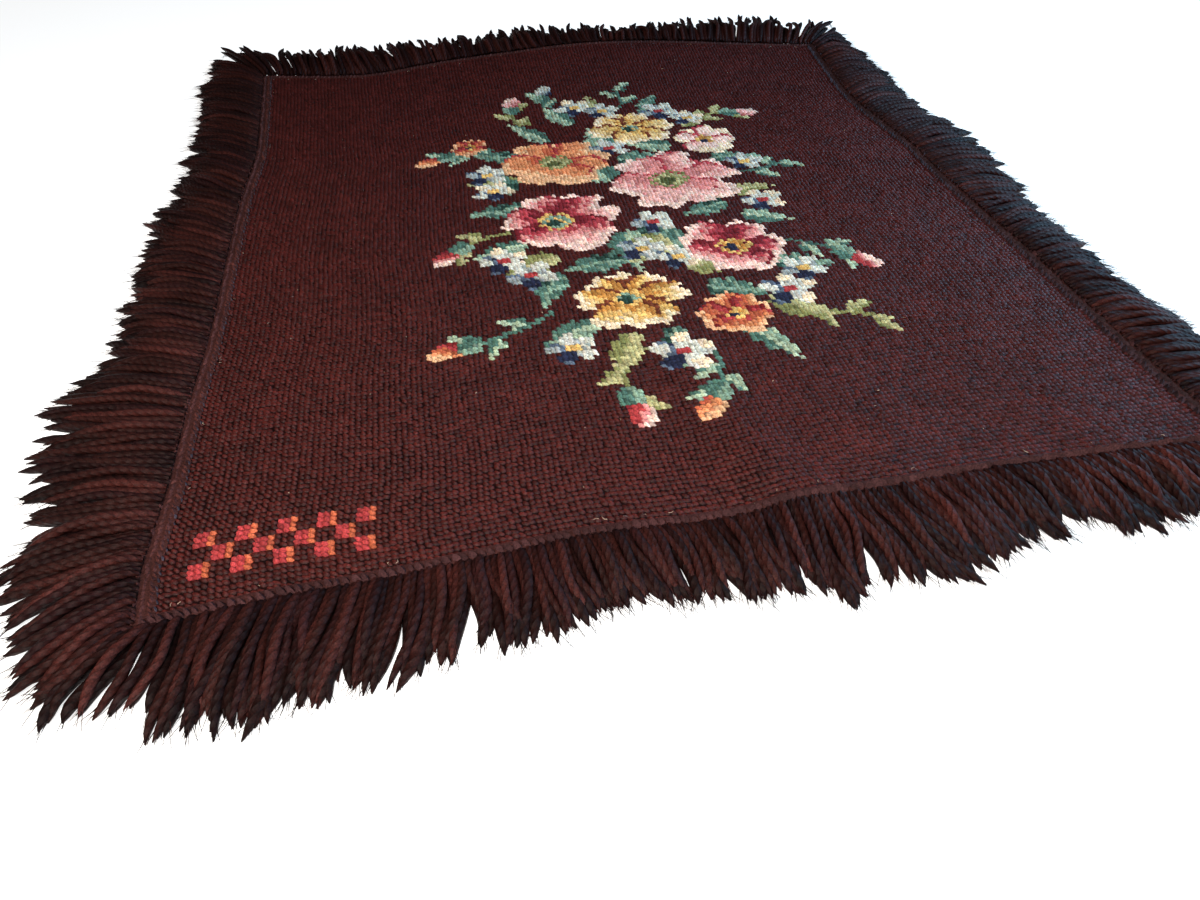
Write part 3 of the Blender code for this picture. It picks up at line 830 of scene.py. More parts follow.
ground_wool = dyed_wool("ground_wool", 1500.0, 0.34, relief=0.60, roughness=0.50, shine=0.20)
flower_wool = dyed_wool(
    "flower_wool", 1500.0, 0.12, relief=0.35, roughness=0.70, shine=0.16, sheen=0.03
)
is_ground = chart == GROUND
is_corner = ~is_ground & (row_grid < CORNER_ROWS)
half_way = row_grid < STITCHES_DEEP / 2
ground_front = make_stitches("ground_stitches_front", is_ground & half_way, ground_wool, GROUND_PAINTED_LIGHT)
ground_back = make_stitches("ground_stitches_back", is_ground & ~half_way, ground_wool, GROUND_PAINTED_LIGHT)
bouquet = make_stitches("bouquet_stitches", ~is_ground & ~is_corner, flower_wool, FLOWER_PAINTED_LIGHT)
ornament = make_stitches("corner_ornament", is_corner, flower_wool, FLOWER_PAINTED_LIGHT)

# Fringe
# Four lengths of ready made wool fringe, sewn beside the turned edge and mitred at the corners.
# Each has a narrow braided heading, out of which plied yarns fall in two or three layers; they
# cling together in clumps, sweep along the surface and fray at their cut ends.
GAP = 0.0003
# Each heading runs this far under the edge stitches that it is sewn to
SEAM_LAP = 0.0010
END_CLEARANCE = 0.00025
LOCKS_PER_CELL = 3
CLUMP_SIZES = (3, 8)
CORNER_SQUEEZE = 0.06
SQUEEZES = (0.05, 0.24)
DRIFTS = (-0.75, 0.75)
CLUMP_REACHES = (0.95, 1.05)
CLUMP_ARC = 0.28
LOCK_REACHES = (0.95, 1.03)
LOCK_LOFTS = (0.88, 1.12)
USUAL_REACH = 0.055
CORNER_FAN = 0.060
FAN_SHARE = 0.98
CLING = 0.36
CAD_SEED = 57

# columns of the reach tables: along the edge from 0 to 1, reach beyond the heading
# columns of the lean tables: along the edge from 0 to 1, lean per unit of reach
SIDES = {
    "front": {
        "heading": 0.0060, "inset": 0.0008, "tuft": 0.26, "loft": 1.15, "tip_rise": 0.0,
        "reach": (
            (0.00, 0.036), (0.025, 0.041), (0.045, 0.046), (0.06, 0.060), (0.10, 0.058),
            (0.16, 0.056), (0.22, 0.052), (0.31, 0.051), (0.345, 0.045), (0.40, 0.047),
            (0.47, 0.048), (0.52, 0.051), (0.57, 0.060), (0.615, 0.063), (0.66, 0.054),
            (0.72, 0.049), (0.765, 0.040), (0.79, 0.040), (0.82, 0.053), (0.86, 0.048),
            (0.92, 0.048), (0.97, 0.050), (1.00, 0.042),
        ),
        "lean": (
            (0.00, 0.05), (0.035, 0.00), (0.07, -0.25), (0.14, -0.25), (0.24, -0.18),
            (0.32, 0.00), (0.37, 0.22), (0.43, 0.24), (0.49, 0.04), (0.54, -0.04),
            (0.62, 0.16), (0.74, 0.20), (0.80, 0.18), (0.90, 0.20), (1.00, 0.30),
        ),
    },
    "right": {
        "heading": 0.0100, "inset": 0.0036, "tuft": 0.35, "loft": 1.20, "tip_rise": 0.0012,
        "reach": (
            (0.00, 0.042), (0.04, 0.050), (0.16, 0.051), (0.20, 0.045), (0.30, 0.043),
            (0.36, 0.042), (0.42, 0.052), (0.50, 0.056), (0.55, 0.061), (0.60, 0.056),
            (0.71, 0.053), (0.79, 0.058), (0.87, 0.052), (0.96, 0.046), (1.00, 0.038),
        ),
        "lean": (
            (0.00, -0.20), (0.18, -0.16), (0.25, -0.10), (0.34, 0.15), (0.45, 0.00),
            (0.56, 0.10), (0.68, 0.25), (0.76, 0.42), (0.86, 0.20), (1.00, 0.20),
        ),
    },
    "back": {
        "heading": 0.0060, "inset": 0.0022, "tuft": 0.10, "loft": 1.85, "tip_rise": 0.0150,
        "reach": (
            (0.00, 0.048), (0.03, 0.052), (0.08, 0.051), (0.13, 0.050), (0.18, 0.060),
            (0.215, 0.046), (0.26, 0.060), (0.32, 0.051), (0.40, 0.057), (0.47, 0.063),
            (0.54, 0.060), (0.60, 0.050), (0.64, 0.038), (0.69, 0.048), (0.77, 0.056),
            (0.84, 0.063), (0.92, 0.060), (0.97, 0.052), (1.00, 0.042),
        ),
        "lean": (
            (0.00, -0.45), (0.12, -0.40), (0.20, -0.32), (0.24, 0.02), (0.35, 0.00),
            (0.50, -0.04), (0.64, 0.05), (0.80, 0.05), (1.00, 0.25),
        ),
    },
    "left": {
        "heading": 0.0110, "inset": 0.0036, "tuft": 0.26, "loft": 1.15, "tip_rise": 0.0010,
        "reach": (
            (0.00, 0.036), (0.03, 0.044), (0.06, 0.054), (0.10, 0.063), (0.18, 0.074),
            (0.24, 0.076), (0.27, 0.065), (0.30, 0.053), (0.35, 0.056), (0.42, 0.059),
            (0.50, 0.060), (0.55, 0.054), (0.62, 0.053), (0.68, 0.057), (0.76, 0.054),
            (0.88, 0.056), (0.97, 0.055), (1.00, 0.050),
        ),
        "lean": (
            (0.00, -0.30), (0.08, -0.26), (0.13, 0.06), (0.20, 0.12), (0.27, 0.22),
            (0.35, 0.32), (0.43, 0.48), (0.52, 0.66), (0.64, 0.74), (0.82, 0.72),
            (1.00, 0.55),
        ),
    },
}


def cells_along(side):
    return CAD_COLUMNS if side in ("front", "back") else CAD_ROWS


def grid_place(side, along):
    """Across and deep of places on a side."""
    still = np.zeros_like(along)
    return {
        "front": (along, still), "back": (along, still + 1),
        "left": (still, along), "right": (still + 1, along),
    }[side]


def edge_chords(side):
    places = np.linspace(0, 1, cells_along(side) + 1)
    points = raw_plan(*grid_place(side, places)) + CENTRING
    return points, outward(side, points[1:] - points[:-1])


def meet(point, normal_a, distance_a, normal_b, distance_b):
    """The point that lies at two distances outside two edges through one point."""
    return point + np.linalg.solve(np.stack((normal_a, normal_b)), (distance_a, distance_b))


def neighbour(side, at_end):
    if side in ("front", "back"):
        return ("right" if at_end else "left"), side == "back"
    return ("back" if at_end else "front"), side == "right"


def corner_normals(side, at_end):
    """Outward normals of a side and of the side that it meets, at their corner."""
    other, other_end = neighbour(side, at_end)
    normals, other_normals = edge_chords(side)[1], edge_chords(other)[1]
    return normals[-1 if at_end else 0], other_normals[-1 if other_end else 0], other


def offset_line(side, distances):
    """A side's chords moved outward and mitred with the two sides beside it."""
    points, normals = edge_chords(side)
    middle = unit(normals[1:] + normals[:-1])
    reach = distances[side] / (middle * normals[1:]).sum(1, keepdims=True)
    moved = points.copy()
    moved[1:-1] += middle * reach
    for index, at_end in ((0, False), (-1, True)):
        own, others, other = corner_normals(side, at_end)
        moved[index] = meet(points[index], own, distances[side], others, distances[other])
    moved[0] += unit(moved[1] - moved[0]) * END_CLEARANCE
    moved[-1] -= unit(moved[-1] - moved[-2]) * END_CLEARANCE
    return moved


def split_line(points, parts):
    shares = np.arange(parts) / parts
    fine = points[:-1, None] + (points[1:] - points[:-1])[:, None] * shares[None, :, None]
    return np.concatenate((fine.reshape(-1, 2), points[-1:]))


def corner_lean(side, at_end):
    """The lean that points a yarn down the mitre at one end of a side."""
    own, others = corner_normals(side, at_end)[:2]
    points = edge_chords(side)[0]
    direction = unit(points[-1] - points[-2] if at_end else points[1] - points[0])
    return (1.0 - own @ others) / (direction @ others)


def fan_strength(from_corner):
    return np.clip(1.0 - from_corner / CORNER_FAN, 0, None) ** 1.5


def lean_at(side, along):
    """Lean of the yarns along a side, fanning out towards its two corners."""
    fan_start, fan_end = fan_strength(along), fan_strength(1.0 - along)
    usual = smooth_lookup(SIDES[side]["lean"], along)
    fan = corner_lean(side, False) * fan_start + corner_lean(side, True) * fan_end
    return usual * (1.0 - fan_start - fan_end) + FAN_SHARE * fan


class Wall:
    """The outer wall of a heading, as a scale along which yarns are placed."""

    def __init__(self, side, line):
        self.line = line
        steps = np.linalg.norm(line[1:] - line[:-1], axis=1)
        self.places = np.concatenate(((0.0,), np.cumsum(steps)))
        self.length = self.places[-1]
        self.middles = (self.places[1:] + self.places[:-1]) / 2
        self.normals = outward(side, line[1:] - line[:-1])
        self.start_way = unit(line[1] - line[0])
        self.end_way = unit(line[-1] - line[-2])

    def point(self, place, distance):
        """Points in plan at some distances outside places along the wall."""
        held = np.clip(place, 0, self.length)
        on_wall = np.stack([np.interp(held, self.places, self.line[:, i]) for i in (0, 1)], axis=-1)
        before = np.minimum(place, 0)[..., None] * self.start_way
        after = np.maximum(place - self.length, 0)[..., None] * self.end_way
        normal = unit(np.stack(
            [np.interp(held, self.middles, self.normals[:, i]) for i in (0, 1)], axis=-1
        ))
        return on_wall + before + after + normal * distance[..., None]


def make_clumps(count, chance):
    """Groups of neighbouring locks: first, last, squeeze, drift and reach of each."""
    clumps = []
    first = 0
    while first < count:
        size = min(chance.randint(*CLUMP_SIZES), count - first)
        at_corner = first == 0 or first + size == count
        squeeze = CORNER_SQUEEZE if at_corner else chance.uniform(*SQUEEZES)
        drift = 0.0 if at_corner else chance.uniform(*DRIFTS)
        clumps.append((first, first + size, squeeze, drift, chance.uniform(*CLUMP_REACHES)))
        first += size
    return clumps


def make_locks(side, wall, chance):
    """One row for each lock: its stretch of wall, its clump, its reach and its plumpness."""
    places = wall.places
    rows = []
    for first, last, squeeze, drift, clump_reach in make_clumps(len(places) - 1, chance):
        for index in range(first, last):
            in_clump = (index - first + 0.5) / (last - first)
            arc = 1.0 - CLUMP_ARC * (in_clump - 0.5) ** 2
            middle = (places[index] + places[index + 1]) / 2 / wall.length
            reach = smooth_lookup(SIDES[side]["reach"], np.array([middle]))[0] * clump_reach * arc
            reach *= chance.uniform(*LOCK_REACHES)
            loft = SIDES[side]["loft"] * chance.uniform(*LOCK_LOFTS)
            stretch = (places[index], places[index + 1], places[first], places[last])
            rows.append((*stretch, squeeze, drift, reach, loft))
    return np.array(rows)


def bent_place(side, wall, row, place, distance):
    """Where a yarn that starts at one place along the wall has moved to, further out."""
    share = np.minimum(distance / USUAL_REACH, 1.3) ** 2
    clump_start, clump_end, squeeze, drift = (row[:, i, None] for i in (2, 3, 4, 5))
    middle = (clump_start + clump_end) / 2
    half = (clump_end - clump_start) / 2
    moved = place + lean_at(side, place / wall.length) * distance
    moved_middle = middle + lean_at(side, middle / wall.length) * distance
    pull = CLING * squeeze * share
    return moved_middle + (moved - moved_middle) * (1.0 - pull) + drift * half * pull


# Six plied yarns make up each lock, three of them on the surface and three above
# columns: place across the lock, layer, 0 lowest and 2 highest
YARN_PLACES = ((0.15, 0), (0.50, 0), (0.85, 0), (0.02, 1), (0.36, 1), (0.68, 2))
YARN_RADIUS = 0.00240
YARN_STEPS = 14
YARN_SIDES = 7
PLACE_CHANGE = 0.05
LOCK_LENGTHS = (0.96, 1.12)
YARN_LENGTHS = (0.93, 1.05)
LAYER_SHORTENING = 0.03
YARN_RADII = (0.86, 1.06)
# Yarns sway with their lock, wander by themselves and lean aside, a few of them far
LOCK_SWAY = 0.0024
YARN_WANDER = 0.0028
YARN_LEAN = 0.060
STRAYS = 0.06
STRAY_LEAN = 2.6
UPPER_WANDER = 0.0010
# columns: way out, height of the yarn's middle
LAYER_HEIGHTS = (
    ((0.0, 0.0026), (0.15, 0.0025), (0.5, 0.0024), (0.85, 0.0021), (1.0, 0.0010)),
    ((0.0, 0.0036), (0.15, 0.0052), (0.45, 0.0060), (0.78, 0.0042), (1.0, 0.0014)),
    ((0.0, 0.0040), (0.15, 0.0066), (0.40, 0.0078), (0.72, 0.0056), (1.0, 0.0020)),
)
# The lowest yarns are plumper, so that no floor shows between them
LAYER_THICKNESS = (1.30, 1.0, 1.0)
# columns: way out, thickness
YARN_TAPER = (
    (0.0, 0.45), (0.07, 0.94), (0.14, 1.0), (0.74, 1.00), (0.86, 0.88), (0.94, 0.58), (1.0, 0.12)
)
# The share of the way out over which a yarn comes down from the lifted cloth to the surface
SETTLE = 0.30


def yarn_layers(locks):
    """The layer of every yarn of so many locks."""
    return np.tile(np.array(YARN_PLACES)[:, 1], locks).astype(int)


def aside(way, past_wall, phase, strength, chance):
    """How far each yarn sways, wanders and leans along the wall on its way out."""
    count = len(phase)
    wander = YARN_WANDER * strength * np.sin(way * 5.2 + phase)
    lock_phase = chance.uniform(0, 2 * math.pi, count // len(YARN_PLACES))
    sway = LOCK_SWAY * np.sin(way * 4.5 + np.repeat(lock_phase, len(YARN_PLACES))[:, None])
    stray = np.where(chance.uniform(0, 1, (count, 1)) < STRAYS, STRAY_LEAN, 1.0)
    lean = chance.normal(0, YARN_LEAN, (count, 1)) * stray
    return (wander + sway + lean * past_wall) * way


def yarn_plan(side, wall, row, place, distance, offset):
    """Points of the yarns in plan, drawn together in the tuft of their lock."""
    past_wall = np.maximum(distance, 0.0)
    way = np.linspace(0, 1, YARN_STEPS)[None]
    moved = bent_place(side, wall, row, place, past_wall)
    lock_middle = (row[:, 0] + row[:, 1])[:, None] / 2
    tuft_middle = bent_place(side, wall, row, lock_middle, past_wall)
    moved = moved + (tuft_middle - moved) * SIDES[side]["tuft"] * way**2 + offset
    return wall.point(moved, distance)


def yarn_paths(side, wall, rows, chance):
    """Centre points and radii of every yarn of a side, as rows of steps."""
    per_lock = len(YARN_PLACES)
    row = np.repeat(rows, per_lock, axis=0)
    count = len(row)
    layer = yarn_layers(len(rows))
    spot = np.tile(np.array(YARN_PLACES)[:, 0], len(rows)) + chance.normal(0, PLACE_CHANGE, count)
    place = (row[:, 0] + (row[:, 1] - row[:, 0]) * spot)[:, None]
    reach = row[:, 6] * np.repeat(chance.uniform(*LOCK_LENGTHS, len(rows)), per_lock)
    reach = reach * chance.uniform(*YARN_LENGTHS, count) * (1.0 - LAYER_SHORTENING * layer)
    inset = SIDES[side]["inset"]
    way = np.linspace(0, 1, YARN_STEPS)[None]
    distance = -inset + (reach[:, None] + inset) * way
    # Three waves each, of which the first goes aside and the last upward
    phase = chance.uniform(0, 2 * math.pi, (count, 3, 1))
    strength = chance.uniform(0.4, 1.0, (count, 3, 1))
    offset = aside(way, np.maximum(distance, 0.0), phase[:, 0], strength[:, 0], chance)
    plan = yarn_plan(side, wall, row, place, distance, offset)
    heights = np.stack([np.interp(way[0], *np.array(table).T) for table in LAYER_HEIGHTS])[layer]
    base = lift(*grid_place(side, np.clip(place / wall.length, 0, 1)))
    base = base * np.clip(1.0 - way / SETTLE, 0, None) ** 2
    plump = 1.0 + (row[:, 7, None] - 1.0) * np.sin(way * math.pi)
    upward = UPPER_WANDER * strength[:, 2] * np.sin(way * 6.0 + phase[:, 2]) * (layer[:, None] > 0)
    rise = SIDES[side]["tip_rise"] * chance.uniform(0, 1, (count, 1)) * way**2
    radius = YARN_RADIUS * chance.uniform(*YARN_RADII, (count, 1))
    radius = radius * np.array(LAYER_THICKNESS)[layer][:, None]
    radius = radius * np.interp(way[0], *np.array(YARN_TAPER).T)[None]
    height = np.maximum(heights * plump + upward + rise, radius * 0.96) + base
    return np.concatenate((plan, height[..., None]), axis=-1), radius


def tube_points(path, radius, sides):
    """Rings of points round each path."""
    way = unit(np.gradient(path, axis=1))
    over = unit(np.cross(way, np.array((0.0, 0.0, 1.0))))
    up = np.cross(over, way)
    angle = (np.arange(sides) / sides * 2 * math.pi)[:, None]
    ring = over[:, :, None] * np.cos(angle) + up[:, :, None] * np.sin(angle)
    return path[:, :, None] + ring * radius[:, :, None, None]


def tube_faces(count, steps, sides):
    """Quads between rings for many tubes, and their place round and along the tube."""
    tube, step, side = np.meshgrid(
        np.arange(count), np.arange(steps - 1), np.arange(sides), indexing="ij"
    )
    first = (tube * steps + step) * sides
    after = (side + 1) % sides
    faces = np.stack((first + side, first + after, first + sides + after, first + sides + side), -1)
    around = np.stack((side, side + 1, side + 1, side), -1) / sides
    along = np.stack((step, step, step + 1, step + 1), -1) / (steps - 1)
    owner = np.repeat(tube[..., None], 4, axis=-1)
    return faces.reshape(-1, 4), around.ravel(), along.ravel(), owner.ravel()


def strip_uv(around, along, owner, count, low, high):
    """A bake map with one upright strip for each tube, in rows between two heights."""
    per_row = int(math.ceil(math.sqrt(count * 6)))
    lines = int(math.ceil(count / per_row))
    u = (owner % per_row + 0.05 + 0.90 * around) / per_row
    v = (owner // per_row + 0.03 + 0.94 * along) / lines
    return np.stack((u, low + (high - low) * v), -1).astype(np.float32)


# Loose fibres at the cut end of each yarn
HAIRS_PER_YARN = 3
HAIR_STEPS = 4
HAIR_SIDES = 3
HAIR_RADIUS = 0.00029
HAIR_LENGTHS = (0.009, 0.020)
HAIR_SPREAD = 0.16
HAIR_CURL = 0.20
HAIR_SHIFT = 0.0007
HAIR_DROOPS = (0.4, 0.9)
HAIR_UV_TOP = 0.15


def hair_paths(path, chance):
    """Loose fibres past the cut end of each yarn, spread and drooping to the surface."""
    total = len(path) * HAIRS_PER_YARN
    tip = np.repeat(path[:, -3], HAIRS_PER_YARN, axis=0)
    way = np.repeat(unit(path[:, -1] - path[:, -4]), HAIRS_PER_YARN, axis=0)
    over = unit(np.cross(way, np.array((0.0, 0.0, 1.0))))
    spread = chance.normal(0, HAIR_SPREAD, (total, 1, 1))
    curl = chance.normal(0, HAIR_CURL, (total, 1, 1))
    length = chance.uniform(*HAIR_LENGTHS, (total, 1, 1))
    share = np.linspace(0, 1, HAIR_STEPS)[None, :, None]
    start = tip + over * chance.normal(0, HAIR_SHIFT, (total, 1))
    sweep = way[:, None] + over[:, None] * (spread + curl * share)
    points = start[:, None] + sweep * length * share
    droop = chance.uniform(*HAIR_DROOPS, (total, 1, 1))
    points[..., 2:] = np.maximum(tip[:, None, 2:] * (1 - share * droop) + 0.0003, 0.0002)
    return points, HAIR_RADIUS * (1.15 - share[..., 0]) * np.ones((total, 1))


# Cross section of a heading
# columns: share of its width from the cloth outward, height
HEADING_PROFILE = (
    (0.0, 0.0), (0.0, 0.0026), (0.25, 0.0031), (0.75, 0.0031), (1.0, 0.0024), (1.0, 0.0)
)


def heading_band(side, inner, outer, along):
    """The flat braid that holds the yarns: a low closed strip with a rounded top."""
    base = lift(*grid_place(side, along))
    rings = []
    for share, height in HEADING_PROFILE:
        plan = inner + (outer - inner) * share
        rings.append(np.concatenate((plan, (base + height)[:, None]), axis=1))
    points = np.stack(rings, axis=1)
    count, sides = points.shape[:2]
    faces = tube_faces(1, count, sides)[0].tolist()
    for here in (0, (count - 1) * sides):
        faces.append([here + index for index in (0, 1, 2, 3)])
        faces.append([here + index for index in (0, 3, 4, 5)])
    return points.reshape(-1, 3), faces


# Rows of sewing on each heading: a rope of slanting stitches in front, a low seam at the back, a
# rough seam on the right, and lengthwise ribs on the left with running stitches by the canvas
# columns: share of the heading's width, slant, half length, half width, height, pitch, tone
RIBS = (
    (0.20, 0.40, 0.0025, 0.00150, 0.0014, 0.0036, "heading"),
    (0.50, -0.35, 0.0025, 0.00150, 0.0013, 0.0036, "heading"),
    (0.80, 0.40, 0.0026, 0.00160, 0.0016, 0.0036, "heading"),
    (0.02, 0.30, 0.0014, 0.00055, 0.0014, 0.0056, "thread"),
)
ROUGH_SEAM = (
    (0.08, 0.60, 0.0026, 0.00150, 0.0020, 0.0043, "seam"),
    (0.42, -0.50, 0.0030, 0.00170, 0.0018, 0.0047, "seam"),
    (0.80, 0.55, 0.0034, 0.00190, 0.0026, 0.0052, "knot"),
)
LOOPS = {
    "front": ((0.56, 1.10, 0.0034, 0.0025, 0.0036, 0.0044, "knot"),),
    "back": ((0.40, 0.25, 0.0028, 0.0016, 0.0010, 0.0038, "heading"),),
    "left": RIBS,
    "right": ROUGH_SEAM,
}
LOOP_BASE = 0.0029
LOOP_SINK = 0.35
LOOP_SHIFT = 0.00035
SLANT_CHANGE = 0.22
LOOP_SIZE_CHANGE = 0.13
LOOP_TONE_CHANGE = 0.16
LOOP_TONES = {
    "heading": linear(80, 43, 40), "knot": linear(68, 42, 44), "seam": linear(52, 36, 40),
    "thread": linear(84, 68, 74),
}


def loop_rows(side, inner, outer, along, chance):
    """Points and colours of the small stitches in the rows of sewing on a heading."""
    length = np.concatenate(((0.0,), np.cumsum(np.linalg.norm(outer[1:] - outer[:-1], axis=1))))
    upward = np.array((0.0, 0.0, 1.0))
    made, colours = [], []
    for share, slant, half_length, half_width, height, pitch, name in LOOPS[side]:
        count = int(length[-1] / pitch)
        places = (np.arange(count) + 0.5) / count * length[-1]
        line = inner + (outer - inner) * share
        plan = np.stack([np.interp(places, length, line[:, i]) for i in (0, 1)], axis=-1)
        direction = unit(np.gradient(plan, axis=0))
        base = lift(*grid_place(side, np.interp(places, length, along)))
        centre = np.concatenate((plan, (base + LOOP_BASE)[:, None]), axis=1)
        centre[:, :2] += chance.normal(0, LOOP_SHIFT, (count, 2))
        tangent = np.concatenate((direction, np.zeros((count, 1))), axis=1)
        across = np.concatenate((outward(side, direction), np.zeros((count, 1))), axis=1)
        first, second = (across, tangent) if side in ("front", "back") else (tangent, across)
        leg = unit(first + second * (slant + chance.normal(0, SLANT_CHANGE, (count, 1))))
        size = 1.0 + chance.normal(0, LOOP_SIZE_CHANGE, (count, 1))
        made.append(pillows(
            centre, leg * half_length * size, np.cross(upward, leg) * half_width * size,
            np.tile(upward, (count, 1)) * height * size, LOOP_SINK,
        ))
        colours.append(LOOP_TONES[name] * chance.normal(1.0, LOOP_TONE_CHANGE, (count, 1)))
    return np.concatenate(made), np.concatenate(colours)


def make_fringe_wool():
    """Plied wool: rounded plies wind round each yarn, with painted shade in the narrow grooves between
    them.
    """
    material, tree, shader = new_material("fringe_wool")
    wool, relief = wool_surface(tree, shader, 1300.0, 0.65, 0.6)
    dye_from_yarn(tree, wool)
    set_values(shader, Roughness=0.58, Specular_IOR_Level=0.12)
    way = add_node(tree, "ShaderNodeAttribute", attribute_name="yarn_way")
    wave = add_node(tree, "ShaderNodeMath", operation="SINE")
    plies = add_node(tree, "ShaderNodeMath", operation="ABSOLUTE")
    # Painted shade: the yarn's colour dims to 0.62 of itself in the grooves between the plies
    painted_groove_shade = add_node(tree, "ShaderNodeMapRange", From_Min=0.05, From_Max=0.50, To_Min=0.62)
    shade = add_node(tree, "ShaderNodeVectorMath", operation="SCALE")
    height = add_node(tree, "ShaderNodeMath", operation="MULTIPLY_ADD")
    height.inputs[1].default_value = 1.5
    link = tree.links.new
    link(way.outputs["Fac"], wave.inputs[0])
    link(wave.outputs["Value"], plies.inputs[0])
    link(plies.outputs["Value"], painted_groove_shade.inputs["Value"])
    link(plies.outputs["Value"], height.inputs[0])
    link(wool.outputs["Height"], height.inputs[2])
    link(height.outputs["Value"], relief.inputs["Height"])
    link(wool.outputs["Colour"], shade.inputs["Vector"])
    link(painted_groove_shade.outputs["Result"], shade.inputs["Scale"])
    link(shade.outputs["Vector"], shader.inputs["Base Color"])
    return material


# Wool of the fringe
PLY_CRESTS_PER_METRE = 185.0
PLIES = 4
# Painted light by layer: painted shade on the lowest yarns, under the others, and the highest painted
# lighter
LAYER_PAINTED_LIGHT = (0.45, 0.86, 1.16)
YARN_SHADES = (0.58, 1.30)
FRINGE_COLOURS = (linear(48, 21, 18), linear(40, 17, 17), linear(55, 24, 21))
fringe_wool = make_fringe_wool()
heading_wool = dyed_wool("heading_wool", 1300.0, 0.35, relief=0.45, roughness=0.75, shine=0.16)
cad_chance = random.Random(CAD_SEED)
yarn_chance = np.random.default_rng(41)


def twist_along(path, around, way, owner):
    """Where each corner of a yarn lies in its twist, with one ply for each half turn."""
    lengths = np.linalg.norm(path[:, 1:] - path[:, :-1], axis=-1).sum(1)
    phase = yarn_chance.uniform(0, 1, len(path))
    crests = PLY_CRESTS_PER_METRE * lengths[owner] * way
    return math.pi * (PLIES * around + crests + phase[owner])


def yarn_tones(layers):
    """The colour of each yarn of some layers, with painted shade on the lowest layer and the highest
    painted lighter.
    """
    tones = np.array(FRINGE_COLOURS)[yarn_chance.integers(0, len(FRINGE_COLOURS), len(layers))]
    shades = yarn_chance.uniform(*YARN_SHADES, len(layers)) * np.array(LAYER_PAINTED_LIGHT)[layers]
    return tones * shades[:, None]


def make_yarns(side, wall):
    """All the yarns of one side, with their loose ends, as one piece."""
    rows = make_locks(side, wall, cad_chance)
    path, radius = yarn_paths(side, wall, rows, yarn_chance)
    count = len(path)
    faces, around, way, owner = tube_faces(count, YARN_STEPS, YARN_SIDES)
    hair_path, hair_radius = hair_paths(path, yarn_chance)
    hair_faces, hair_around, hair_way, hair_owner = tube_faces(
        len(hair_path), HAIR_STEPS, HAIR_SIDES
    )
    yarns = tube_points(path, radius, YARN_SIDES)
    hairs = tube_points(hair_path, hair_radius, HAIR_SIDES)
    item = add_mesh(
        "fringe_" + side + "_yarns",
        np.concatenate((yarns.reshape(-1, 3), hairs.reshape(-1, 3))),
        np.concatenate((faces, hair_faces + yarns.size // 3)),
    )
    uv = np.concatenate((
        strip_uv(around, way, owner, count, HAIR_UV_TOP, 1.0),
        strip_uv(hair_around, hair_way, hair_owner, len(hair_path), 0.0, HAIR_UV_TOP),
    ))
    item.data.uv_layers.new(name="OFBake").data.foreach_set("uv", uv.ravel())
    # A loose fibre has no groove: it lies at the crest of a ply, free of the painted groove shade
    crest = np.full(len(hair_around), math.pi / 2)
    twist = np.concatenate((twist_along(path, around, way, owner), crest)).astype(np.float32)
    item.data.attributes.new("yarn_way", "FLOAT", "CORNER").data.foreach_set("value", twist)
    tones = yarn_tones(yarn_layers(len(rows)))
    colour_points(item, np.concatenate((
        np.repeat(tones, YARN_STEPS * YARN_SIDES, axis=0),
        np.repeat(tones, HAIRS_PER_YARN * HAIR_STEPS * HAIR_SIDES, axis=0),
    )))
    item.data.materials.append(fringe_wool)
    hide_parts("fringe_" + side)
    return item


def make_heading(side, inner, outer, along):
    """The band that holds the yarns, with its rows of sewing, as one piece."""
    band_points, band_faces = heading_band(side, inner, outer, along)
    loops, shade = loop_rows(side, inner, outer, along, yarn_chance)
    loop_faces = repeat_faces(PILLOW_FACES, len(loops), PILLOW_POINTS) + len(band_points)
    mesh = bpy.data.meshes.new("fringe_" + side + "_heading")
    mesh.from_pydata(
        np.concatenate((band_points, loops.reshape(-1, 3))).tolist(), [],
        band_faces + loop_faces.tolist(),
    )
    mesh.shade_smooth()
    mesh.set_sharp_from_angle(angle=math.radians(60))
    band = bpy.data.objects.new(mesh.name, mesh)
    bpy.context.scene.collection.objects.link(band)
    # Painted shade: the band under and between the loops is the loops' heading wool taken down to 0.6
    band_painted_shade = np.tile(LOOP_TONES["heading"] * 0.6, (len(band_points), 1))
    colour_points(band, np.concatenate((band_painted_shade, np.repeat(shade, PILLOW_POINTS, axis=0))))
    mesh.materials.append(heading_wool)
    plan_uv(band)
    return band


seams = dict.fromkeys(SIDES, -SEAM_LAP)
headings = {name: GAP + values["heading"] for name, values in SIDES.items()}
fringe_pieces = []
for side in SIDES:
    inner_line = split_line(offset_line(side, seams), LOCKS_PER_CELL)
    outer_line = split_line(offset_line(side, headings), LOCKS_PER_CELL)
    shares_along = np.linspace(0, 1, len(outer_line))
    fringe_pieces.append(make_yarns(side, Wall(side, outer_line)))
    fringe_pieces.append(make_heading(side, inner_line, outer_line, shares_along))
for piece in fringe_pieces:
    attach(piece, "root")

# Thread ends
# Short cut ends of pale thread and wool lint, caught along the seams and among the stitches.
# They lie loose on the wool, each a fine curved bit a millimetre or three long.
END_STEPS = 3
END_SIDES = 3
END_RADIUS = 0.00021
SEAM_ENDS = 50
FIELD_ENDS = 140
SEAM_LENGTHS = (0.0012, 0.0034)
FIELD_LENGTHS = (0.0006, 0.0016)
# columns: 0 across or 1 deep, place of the seam from 0 to 1
END_SEAMS = ((1, 0.006), (0, 0.006), (1, 0.992))
END_TONES = (linear(214, 192, 164), linear(176, 150, 130), linear(122, 104, 104))


